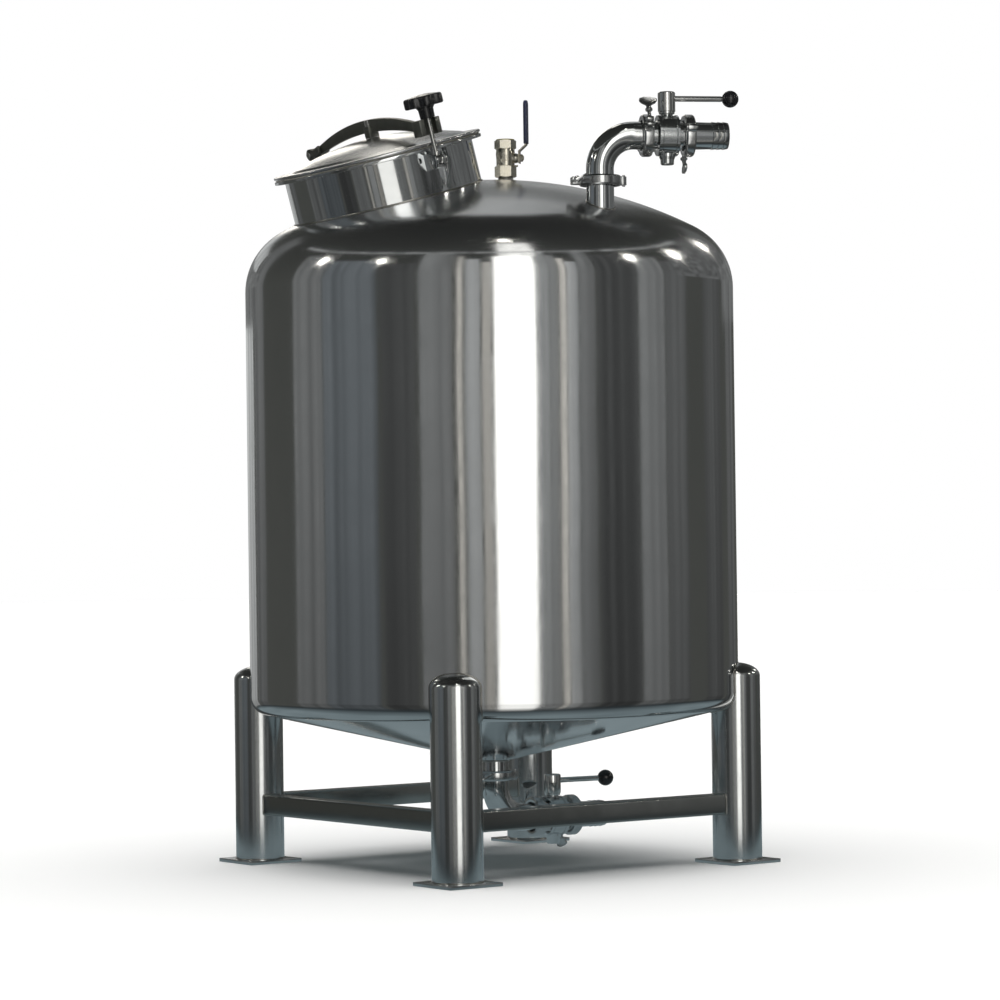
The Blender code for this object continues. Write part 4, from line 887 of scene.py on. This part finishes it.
# %% Turned pipe pieces
PIPE_RADIUS, LIP_RADIUS = 0.03015, 0.0385
ELBOW_REACH, BEND_RADIUS = 0.0985, 0.074
VALVE_START, VALVE_LENGTH, TAIL_LENGTH = 0.1025, 0.0925, 0.0870
PIPE_STEPS = 64


def lip(face, away):
    """Outer points of a tapered lip whose flat is at face and whose pipe runs away from it."""
    return [(LIP_RADIUS - 0.4 * MM, face), (LIP_RADIUS, face + away * 0.4 * MM),
            (LIP_RADIUS, face + away * 2.2 * MM), (PIPE_RADIUS + 1.5 * MM, face + away * 6.0 * MM),
            (PIPE_RADIUS, face + away * 7.0 * MM)]


def stub(place):
    """The pipe that is welded on the vessel, with its lip at z = 0."""
    line = [(PIPE_BORE, 0.0)] + lip(0.0, -1)
    line += [(PIPE_RADIUS, -0.085), (PIPE_BORE, -0.085)]
    return clear_of_vessel(turned(line, place, PIPE_STEPS, closed=True))


def elbow(place, rise):
    """A bend with a lip at each end; rise is the side that its upright leg is on."""
    centre = Vector((BEND_RADIUS, 0, rise * BEND_RADIUS))
    bend = []
    for i in range(25):
        angle = math.radians(90.0 * i / 24)
        spoke = Vector((math.cos(angle), 0, rise * math.sin(angle)))
        bend.append((centre - BEND_RADIUS * spoke,
                     Vector((math.sin(angle), 0, -rise * math.cos(angle)))))
    upright, level = bend[0][1], bend[-1][1]
    first = Vector((0, 0, rise * (ELBOW_REACH - GAP / 2)))
    last = Vector((VALVE_START - GAP / 2, 0, 0))
    ends = lip(0.0, 1)
    stations = [(first + upright * step, upright, radius) for radius, step in ends]
    stations += [(point, along, PIPE_RADIUS) for point, along in bend]
    stations += [(last - level * step, level, radius) for radius, step in reversed(ends)]
    stations += [(last, level, PIPE_BORE)]
    stations += [(point, along, PIPE_BORE) for point, along in reversed(bend)]
    stations += [(first, upright, PIPE_BORE)]
    return ringed(stations, place, PIPE_STEPS)


def hose_tail(place):
    """A tail with three barbs, turned from bar."""
    line = [(PIPE_BORE, 0.0)] + lip(0.0, 1)
    for start in (0.0500, 0.0625, 0.0745):
        line += [(PIPE_RADIUS - 1.2 * MM, start), (PIPE_RADIUS, start + 1.0 * MM),
                 (PIPE_RADIUS, start + 2.4 * MM)]
    line += [(PIPE_RADIUS - 1.6 * MM, TAIL_LENGTH - 0.5 * MM),
             (PIPE_RADIUS - 1.9 * MM, TAIL_LENGTH), (PIPE_BORE, TAIL_LENGTH)]
    return turned(line, place @ ALONG_X, PIPE_STEPS, closed=True)


print("lips are", 2 * LIP_RADIUS / MM, "mm across")

# %% Wing nut
def wing_nut(place):
    """A cast fan on a slim stem: the fan is sunk a little on both sides, inside a raised rim."""
    half = [(0.0045, 0.0330), (0.0052, 0.0425), (0.0150, 0.0480), (0.0195, 0.0535),
            (0.0190, 0.0590), (0.0085, 0.0625)]
    outline = rounded(half + [(-x, y) for x, y in reversed(half)], 2.2 * MM, 3, closed=True)
    blade = prism([tuple(point) for point in outline], -0.0026, 0.0026)
    sides = [face for face in blade.faces if abs(face.normal.z) > 0.9]
    bmesh.ops.inset_individual(blade, faces=sides, thickness=1.6 * MM, depth=-1.3 * MM,
                               use_even_offset=True)
    soften(blade, 0.4 * MM)
    upright = place @ about("X", 90.0)
    stem_line = rounded([(0, 0.0455), (0.0030, 0.0455), (0.0045, 0.0400), (0.0050, 0.0345),
                         (0.0078, 0.0335), (0.0078, 0.0295), (0, 0.0295)], 0.6 * MM)
    return [shape_done(blade, upright), turned(stem_line, place, 32)]


# %% Clamp
def clamp(place, wing_turn):
    """A hinged ring with ears and a wing nut on +X and its hinge on -X."""
    ring_line = rounded([(0.0335, 0.011), (0.0435, 0.011), (0.046, 0.0075), (0.046, -0.0075),
                         (0.0435, -0.011), (0.0335, -0.011), (0.0350, -0.0070),
                         (0.0397, -0.0040), (0.0397, 0.0040), (0.0350, 0.0070)],
                        1.0 * MM, 2, closed=True)
    ring = turned(ring_line, place, 72, closed=True)
    gap = block((0.030, -0.002, -0.02), (0.07, 0.002, 0.02), place)
    shapes = [combined("DIFFERENCE", ring, gap)]
    for low, high in ((-0.011, -0.002), (0.002, 0.011)):
        shapes.append(block((0.0415, low, -0.0085), (0.064, high, 0.0085), place, 2.6 * MM, 3))
    shapes.append(rod(9.0 * MM, (-0.049, 0, -0.0095), (-0.049, 0, 0.0095), place, 32, 1.4 * MM))
    shapes.append(rod(3.2 * MM, (-0.052, 0, -0.0125), (-0.052, 0, 0.0125), place, 20, 0.8 * MM))
    along_bolt = place @ at(0.0555, 0, 0) @ about("X", -90.0)
    shapes.append(rod(4.0 * MM, (0, 0, -0.0165), (0, 0, 0.0455), along_bolt, 20))
    shapes.append(hex_collar(0.0072, -0.0180, -0.0110, along_bolt, 0.2, 0.7 * MM))
    shapes += wing_nut(along_bolt @ about("Z", wing_turn))
    return gathered(shapes)


# %% Valve
def valve_casing(place):
    """Two bolted flanges with a lip outside each, a stem neck above and a plug below."""
    half, wide = VALVE_LENGTH / 2 - GAP / 2, 0.0225
    upper = lip(half, -1) + [(PIPE_RADIUS, wide + 2.0 * MM), (PIPE_RADIUS + 2.0 * MM, wide),
                             (0.0437, wide), (0.0445, wide - 0.8 * MM), (0.0445, wide - 6.2 * MM),
                             (0.0437, wide - 7.0 * MM), (0.0424, wide - 7.4 * MM),
                             (0.0424, wide - 8.4 * MM), (0.0433, wide - 9.0 * MM)]
    line = [(PIPE_BORE, half)] + upper + [(r, -h) for r, h in reversed(upper)] + [(PIPE_BORE, -half)]
    body = turned(line, place @ ALONG_X, PIPE_STEPS, closed=True)
    neck = turned(rounded([(0, 0.0465), (0.0135, 0.0465), (0.0135, 0.0450), (0.0155, 0.0400),
                           (0.0155, 0.0300), (0, 0.0300)], 0.6 * MM), place, 48)
    plug = turned(rounded([(0, -0.0635), (0.0130, -0.0635), (0.0145, -0.0615), (0.0150, -0.0520),
                           (0.0180, -0.0460), (0.0180, -0.0300), (0, -0.0300)], 0.8 * MM), place, 48)
    hole = rod(6.8 * MM, (0, 0, 0.010), (0, 0, 0.060), place, 32, 0)
    shapes = [combined("DIFFERENCE", combined("UNION", body, neck, plug), hole)]
    for i in range(4):
        spin = place @ about("X", 45.0 + 90.0 * i)
        for side in (1, -1):
            seat = spin @ at(side * wide, 0.0385, 0) @ ALONG_X
            low, high = (0.0, 0.0036) if side > 0 else (-0.0036, 0.0)
            shapes.append(hex_collar(0.0050, low, high, seat, 0.1, 0.5 * MM))
    return gathered(shapes)


BALL_RADIUS, BALL_REACH, ROD_HEIGHT, ROD_RADIUS = 0.0184, 0.1412, 0.0803, 0.0062
ball_flat = math.sqrt(BALL_RADIUS ** 2 - ROD_RADIUS ** 2)


def valve_grip(place):
    """Hub, stem and disc, with the rod that the ball is screwed on."""
    hub_line = rounded([(0, 0.0949), (0.0165, 0.0949), (0.0190, 0.0925), (0.0190, 0.0525),
                        (0.0172, 0.0510), (0.0172, 0.0470), (0, 0.0470)], 0.8 * MM)
    shapes = [turned(hub_line, place, 56),
              rod(6.0 * MM, (0, 0, 0), (0, 0, 0.049), place, 32),
              rod(26.2 * MM, (0, -0.002, 0), (0, 0.002, 0), place, 64, 0.8 * MM)]
    end = BALL_REACH - ball_flat - GAP
    rod_line = rounded([(0, 0.012), (ROD_RADIUS, 0.012), (ROD_RADIUS, end - 0.004),
                        (ROD_RADIUS - 0.8 * MM, end), (0, end)], 0.5 * MM)
    shapes.append(turned(rod_line, place @ at(0, 0, ROD_HEIGHT) @ ALONG_X, 32))
    return combined("UNION", *shapes)


def grip_ball(place):
    steep = math.degrees(math.asin(ball_flat / BALL_RADIUS))
    curve = arc((0, 0), BALL_RADIUS, 90.0, -steep, 32)
    line = [(0, BALL_RADIUS)] + curve[1:] + [(0, -ball_flat)]
    return turned(line, place @ at(BALL_REACH, 0, ROD_HEIGHT) @ ALONG_X, 48)


# %% Place both sets
FIRST_EARS, HOSE_EARS = 115.0, 75.0
NOZZLE_WING, ELBOW_WING, HOSE_WING = 207.0, 90.0, 180.0


def pipe_set(prefix, spot, rise, ear_side):
    """rise is the side of the pipe that the stub is on, ear_side that of the wing nut."""
    turning_point = joint_place(prefix + "_handle_turn")[0]
    azimuth = math.atan2(turning_point.y - spot[1], turning_point.x - spot[0])
    height = turning_point.z
    place = at(*spot, height) @ Matrix.Rotation(azimuth, 4, "Z")
    upright = place @ at(0, 0, rise * ELBOW_REACH)
    face = at(*spot, height + rise * (ELBOW_REACH + GAP / 2))
    first = place @ at(VALVE_START, 0, 0) @ ALONG_X @ about("Z", ear_side * FIRST_EARS)
    last = place @ at(VALVE_START + VALVE_LENGTH, 0, 0)
    middle = place @ at(VALVE_START + VALVE_LENGTH / 2, 0, 0)
    finish(prefix + "_stub", stub(face if rise < 0 else face @ FLIP), "tank", FITTING,
           prefix + "_nozzle")
    seam = []
    for x, y, _ in circle(PIPE_RADIUS, 0.0, 90):
        out = Vector((spot[0] + x, spot[1] + y))
        up = head_centre + math.sqrt(CROWN_RADIUS ** 2 - out.length_squared)
        down = CONE_TIP + out.length * math.tan(CONE_SLOPE)
        seam.append((out.x, out.y, up if rise < 0 else down))
    finish(prefix + "_stub_weld", bead(seam, 1.8 * MM), "tank", WELD)
    finish(prefix + "_bend", elbow(place, rise), "tank", FITTING, prefix + "_elbow")
    clamps = {"nozzle": (upright @ about("Z", 180.0), NOZZLE_WING),
              "elbow": (first @ FLIP if ear_side < 0 else first, ELBOW_WING),
              "hose": (last @ ALONG_X @ about("Z", HOSE_EARS) @ FLIP, HOSE_WING)}
    for which, (seat, wing) in clamps.items():
        finish(f"{prefix}_{which}_ring", clamp(seat, wing), "tank", CASTING,
               f"{prefix}_{which}_clamp")
    finish(prefix + "_valve_casing", valve_casing(middle), "tank", FITTING, prefix + "_valve_body")
    finish(prefix + "_valve_grip", valve_grip(middle), prefix + "_handle", BUFFED,
           prefix + "_valve_handle")
    finish(prefix + "_grip_ball", grip_ball(middle), prefix + "_handle", PHENOLIC,
           prefix + "_handle_ball")
    finish(prefix + "_barbed_tail", hose_tail(last @ at(GAP / 2, 0, 0)), "tank", FITTING,
           prefix + "_hose_tail")


pipe_set("inlet", INLET_SPOT, -1, -1)
pipe_set("outlet", OUTLET_SPOT, 1, 1)

# %% [markdown]
# ## Studio
#
# A mirror has no look of its own: it shows the room. A polished tank is lit with tall strips
# of light and dark panels between them, and each strip shows as one upright band on the shell.
# A mirror turns a line of sight twice, so a band at a share s of the shell's half width, seen
# from the camera, comes from a strip at twice the arc sine of s, less a little because the
# light starts from the shell and not from its axis. The rounded head looks up instead: its
# knuckle sweeps over the ceiling, so a few lamps there become sparkles, and its crown shows the
# far windows. Only light and reflections see the strips, and only the camera sees the pale
# backdrop. The cone under the tank mirrors the floor, so a glowing patch lies there for
# reflections alone, with painted floor light in it and a painted pool of light near the tank,
# and it fades out before its edge could show.

# %% Glowing cards
STRIP_DISTANCE, PANEL_DISTANCE, RAIL_DISTANCE, LAMP_DISTANCE = 12.0, 11.95, 11.9, 11.7
EYE_LEVEL = 1.35
camera_azimuth = math.atan2(CAMERA_SPOT[1], CAMERA_SPOT[0])


def glow(name, tone, strength, foot_share=1.0, cloud=0.0, upright=1.0):
    """A shining surface; it can be dimmer low down, and cloudy or streaked upright."""
    material, tree, place = new_material(name)
    height = add(tree, "SeparateXYZ", {"Vector": place}).outputs[2]
    fade = add(tree, "MapRange", {"Value": height, "From Min": -1.2, "From Max": 1.7,
                                  "To Min": foot_share, "To Max": 1.0})
    drawn = add(tree, "Mapping", {"Vector": place, "Scale": [1.0, 1.0, 1 / upright]})
    haze = add(tree, "TexNoise", {"Vector": drawn.outputs[0], "Scale": 1.3, "Detail": 5.0})
    patch = add(tree, "MapRange", {"Value": haze.outputs[0], "From Min": 0.35, "From Max": 0.65,
                                   "To Min": 1.0 - cloud, "To Max": 1.0 + cloud})
    shade = add(tree, "Math", {0: fade.outputs[0], 1: patch.outputs[0]}, operation="MULTIPLY")
    power = add(tree, "Math", {0: shade.outputs[0], 1: strength}, operation="MULTIPLY")
    light = add(tree, "Emission", {"Color": linear(tone), "Strength": power.outputs[0]})
    add(tree, "OutputMaterial", {0: light.outputs[0]})
    return material


def staged(name, bm, material, *unseen_by):
    """A piece of the studio, which some kinds of ray pass by."""
    piece = object_of(name, mesh_from(bm, name))
    piece.data.materials.append(material)
    for ray in unseen_by:
        setattr(piece, "visible_" + ray, False)
    return piece


def card(name, first, last, low, top, material, distance=STRIP_DISTANCE):
    """A curved card round the tank between two azimuths; only reflections see it."""
    bm = bmesh.new()
    ends = [bm.verts.new((distance * math.cos(first), distance * math.sin(first), height))
            for height in (low, top)]
    bmesh.ops.spin(bm, geom=ends + [bm.edges.new(ends)], cent=(0, 0, 0), axis=(0, 0, 1),
                   angle=last - first, steps=max(2, round(math.degrees(last - first) / 4)))
    staged(name, bm, material, "camera", "diffuse", "shadow")


def strip_azimuth(share):
    """Where a strip stands so that its reflection shows at that share of the half width."""
    lean = math.asin(share)
    return camera_azimuth + 2 * lean - math.asin(SHELL_RADIUS * math.sin(lean) / STRIP_DISTANCE)


def level_at(elevation, distance=STRIP_DISTANCE):
    """Height at which a card shows under that many degrees above the eye's level."""
    return EYE_LEVEL + distance * math.tan(math.radians(elevation))


def panel(name, side, half_width, low, top, material, distance):
    """A card by its direction and size in degrees, with 0 on the camera's side."""
    middle, half = camera_azimuth + math.radians(side), math.radians(half_width)
    card(name, middle - half, middle + half, level_at(low, distance), level_at(top, distance),
         material, distance)


print("a card at 50 degrees hangs at", round(level_at(50.0), 2), "m")

# %% Upright strips
COOL, WARM, SKY_BLUE, WINDOW_WHITE = "#f0f2f1", "#fffaf0", "#dfe8ee", "#fffdf8"
STRIP_FOOT, STRIP_TOPS = -50.0, (20.0, 35.0, 30.0, 25.0)
WINDOW_TOP, WINDOW_OVER_TOP = 29.0, 52.0
# Each band: from and to as shares of the shell's half width, tone and strength.
BANDS = [
    (-0.999, -0.962, COOL, 0.60), (-0.955, -0.915, COOL, 0.17), (-0.790, -0.672, COOL, 0.23),
    (-0.668, -0.450, SKY_BLUE, 0.21), (-0.430, -0.300, COOL, 0.09), (-0.280, -0.150, COOL, 0.26),
    (-0.130, -0.110, WARM, 0.80), (-0.100, -0.040, COOL, 0.50), (-0.030, 0.005, WARM, 0.55),
    (0.188, 0.235, COOL, 0.46), (0.240, 0.272, COOL, 0.36), (0.278, 0.302, WARM, 0.95),
    (0.308, 0.350, COOL, 0.50), (0.355, 0.420, COOL, 0.22), (0.430, 0.590, COOL, 0.09),
    (0.596, 0.700, COOL, 0.26), (0.705, 0.790, COOL, 0.15), (0.860, 0.930, COOL, 0.13),
    (0.955, 0.985, COOL, 0.14),
]
for number, (start, end, tone, strength) in enumerate(BANDS):
    card(f"strip_{number:02d}", strip_azimuth(start), strip_azimuth(end), level_at(STRIP_FOOT),
         level_at(STRIP_TOPS[number % len(STRIP_TOPS)]),
         glow(f"strip_light_{number:02d}", tone, strength, 0.55, 0.30, 30.0))
card("window", strip_azimuth(0.018), strip_azimuth(0.182), level_at(STRIP_FOOT),
     level_at(WINDOW_TOP), glow("window_light", WINDOW_WHITE, 2.2, 0.6))
card("window_over", strip_azimuth(0.04), strip_azimuth(0.205), level_at(WINDOW_TOP),
     level_at(WINDOW_OVER_TOP), glow("window_over_light", WINDOW_WHITE, 1.3, 1.0, 0.4))
print(len(BANDS), "strips and a window")

# %% Far windows, for the head, the lid and the flat pieces
# Each panel: side, half width, low and top in degrees, tone and strength.
PANELS = {
    "far_floor_line": (180.0, 42.0, 3.0, 11.0, COOL, 0.20),
    "far_window_low": (178.0, 7.0, 12.0, 25.0, COOL, 0.46),
    "far_window_middle": (175.0, 7.0, 25.0, 39.0, COOL, 0.21),
    "far_window_high": (177.0, 9.0, 39.0, 62.0, COOL, 0.52),
    "lid_window_low": (-171.5, 5.5, 14.0, 31.0, WARM, 2.40),
    "lid_window_middle": (-167.0, 8.0, 31.0, 43.0, COOL, 0.16),
    "lid_window_high": (-166.0, 7.0, 43.0, 54.0, WARM, 2.20),
    "right_side_wall": (120.0, 24.0, 5.0, 30.0, COOL, 0.16),
}
for name, (side, half_width, low, top, tone, strength) in PANELS.items():
    panel(name, side, half_width, low, top, glow(name + "_light", tone, strength, 1.0, 0.35),
          PANEL_DISTANCE)
panel("near_rail", 3.0, 117.0, 35.0, 36.5, glow("near_rail_light", COOL, 0.5, 1.0, 0.6, 8.0),
      RAIL_DISTANCE)
print(len(PANELS), "panels and a rail")

# %% Lamps with rays
LAMP_CORE, RAY_WIDTH, LAMP_SQUASH = 0.32, 0.11, 0.30


def star_light(name, centre, sideways, strength, lean):
    """Light that is strong in the middle and reaches out along four thin rays.

    u and v are distances from the lamp's middle across and along the rays. The light falls with
    u times v, which is small along both rays, and with the distance from the middle.
    """
    material, tree, place = new_material(name)
    off = add(tree, "VectorMath", {0: place, 1: list(centre)}, operation="SUBTRACT").outputs[0]
    angle, upward = math.radians(lean), Vector((0, 0, LAMP_SQUASH))
    first = sideways * math.cos(angle) + upward * math.sin(angle)
    second = upward * math.cos(angle) - sideways * math.sin(angle)
    u, v = (add(tree, "VectorMath", {0: off, 1: list(axis)}, operation="DOT_PRODUCT").outputs["Value"]
            for axis in (first, second))
    uv, uu = (add(tree, "Math", {0: u, 1: side}, operation="MULTIPLY").outputs[0] for side in (v, u))
    far = add(tree, "Math", {0: v, 1: v, 2: uu}, operation="MULTIPLY_ADD").outputs[0]
    ray = add(tree, "Math", {0: uv, 1: uv}, operation="MULTIPLY").outputs[0]
    ray, fall = (add(tree, "Math", {0: term, 1: scale, 2: 1.0}, operation="MULTIPLY_ADD").outputs[0]
                 for term, scale in ((ray, RAY_WIDTH ** -4), (far, LAMP_CORE ** -2)))
    fall = add(tree, "Math", {0: fall, 1: 2.0}, operation="POWER").outputs[0]
    both = add(tree, "Math", {0: ray, 1: fall}, operation="MULTIPLY").outputs[0]
    power = add(tree, "Math", {0: strength, 1: both}, operation="DIVIDE").outputs[0]
    light = add(tree, "Emission", {"Color": linear(WARM), "Strength": power})
    clear = add(tree, "BsdfTransparent")
    seen = add(tree, "AddShader", {0: clear.outputs[0], 1: light.outputs[0]})
    add(tree, "OutputMaterial", {0: seen.outputs[0]})
    return material


# Each lamp: side, elevation, strength and how far its rays lean.
LAMPS = [(-88.0, 25.0, 40.0, 30.0), (-52.0, 24.0, 24.0, -20.0), (10.0, 57.0, 70.0, 0.0),
         (72.0, 25.0, 44.0, 25.0), (104.0, 26.0, 70.0, 35.0), (140.0, 24.0, 24.0, 20.0)]
for number, (side, elevation, strength, lean) in enumerate(LAMPS):
    turn = camera_azimuth + math.radians(side)
    centre = Vector((LAMP_DISTANCE * math.cos(turn), LAMP_DISTANCE * math.sin(turn),
                     level_at(elevation, LAMP_DISTANCE)))
    sideways = Vector((-math.sin(turn), math.cos(turn), 0.0))
    panel(f"lamp_{number}", side, 9.0, elevation - 17.0, elevation + 13.0,
          star_light(f"lamp_light_{number}", centre, sideways, strength, lean), LAMP_DISTANCE)
print(len(LAMPS), "lamps")

# %% Floor and backdrop
FLOOR_RADIUS, BACKDROP_RADIUS, PATCH_RADIUS, PATCH_SHIFT = 40.0, 45.0, 1.85, 0.62


def disc(radius, height):
    bm = bmesh.new()
    bmesh.ops.create_circle(bm, cap_ends=True, segments=96, radius=radius)
    bmesh.ops.translate(bm, vec=(0, 0, height), verts=bm.verts)
    return bm


paper, tree, place = new_material("pale_paper_floor")
grain = add(tree, "TexNoise", {"Vector": place, "Scale": 1 / (3.0 * MM), "Detail": 2.0})
tone = add(tree, "Mix", {MIX_FACTOR: grain.outputs[0], MIX_A: linear("#f6f6f5"),
                         MIX_B: linear("#fafaf9")}, data_type="RGBA")
matt = add(tree, "BsdfDiffuse", {"Color": tone.outputs[MIX_COLOUR]})
add(tree, "OutputMaterial", {0: matt.outputs[0]})
staged("floor", disc(FLOOR_RADIUS, -0.5 * MM), paper, "glossy")

# Only reflections see this patch. It glows instead of being lit, so its colour is painted floor light,
# with random stains through it.
glowing_lit_floor, tree, place = new_material("floor_glow_with_painted_light")
away = add(tree, "VectorMath", {0: place}, operation="LENGTH").outputs["Value"]
# A painted pool of light: the floor is bright within 1.15 m of the patch's middle, and takes the dark
# tone from 1.5 m out.
painted_light_pool = add(tree, "MapRange", {"Value": away, "From Min": 1.15, "From Max": 1.50,
                              "To Min": 1.0, "To Max": 0.0})
stains = add(tree, "TexNoise", {"Vector": place, "Scale": 2.2, "Detail": 4.0})
worn = add(tree, "Mix", {MIX_FACTOR: stains.outputs[0], MIX_A: linear("#5f6b6f"),
                         MIX_B: linear("#93a1a5")}, data_type="RGBA")
tone = add(tree, "Mix", {MIX_FACTOR: painted_light_pool.outputs[0], MIX_A: linear("#343b3e"),
                         MIX_B: worn.outputs[MIX_COLOUR]}, data_type="RGBA")
shine = add(tree, "Emission", {"Color": tone.outputs[MIX_COLOUR], "Strength": 1.0})
edge = add(tree, "MapRange", {"Value": away, "From Min": 1.45, "From Max": PATCH_RADIUS})
clear = add(tree, "BsdfTransparent")
faded = add(tree, "MixShader", {0: edge.outputs[0], 1: shine.outputs[0], 2: clear.outputs[0]})
add(tree, "OutputMaterial", {0: faded.outputs[0]})
ground = staged("ground_in_reflections", disc(PATCH_RADIUS, -1.0 * MM), glowing_lit_floor, "camera",
                "diffuse", "shadow")
behind_tank = Matrix.Rotation(camera_azimuth, 3, "Z") @ Vector((-PATCH_SHIFT, 0, 0))
ground.location.xy = behind_tank.xy

sphere = bmesh.new()
bmesh.ops.create_uvsphere(sphere, u_segments=48, v_segments=24, radius=BACKDROP_RADIUS)
staged("backdrop", sphere, glow("pale_backdrop", "#ffffff", 1.0), "glossy", "diffuse", "shadow")
print("floor, its patch and the backdrop are staged")

# %% Air and daylight
world = bpy.data.worlds.new("studio_air")
world.use_nodes = True
tree = world.node_tree
tree.nodes.clear()
up = add(tree, "SeparateXYZ", {"Vector": add(tree, "TexCoord").outputs["Generated"]})
air = add(tree, "Mix", {MIX_FACTOR: up.outputs[2], MIX_A: linear("#4f504d"),
                        MIX_B: linear("#2c2d2c")}, data_type="RGBA")
sky = add(tree, "Background", {"Color": air.outputs[MIX_COLOUR], "Strength": 1.0})
add(tree, "OutputWorld", {0: sky.outputs[0]})
bpy.context.scene.world = world

daylight_data = bpy.data.lights.new("soft_daylight", "SUN")
daylight_data.energy = 3.5
daylight_data.angle = math.radians(100.0)
object_of("soft_daylight", daylight_data).visible_glossy = False
bpy.context.scene.view_settings.view_transform = "Standard"
print("studio ready")
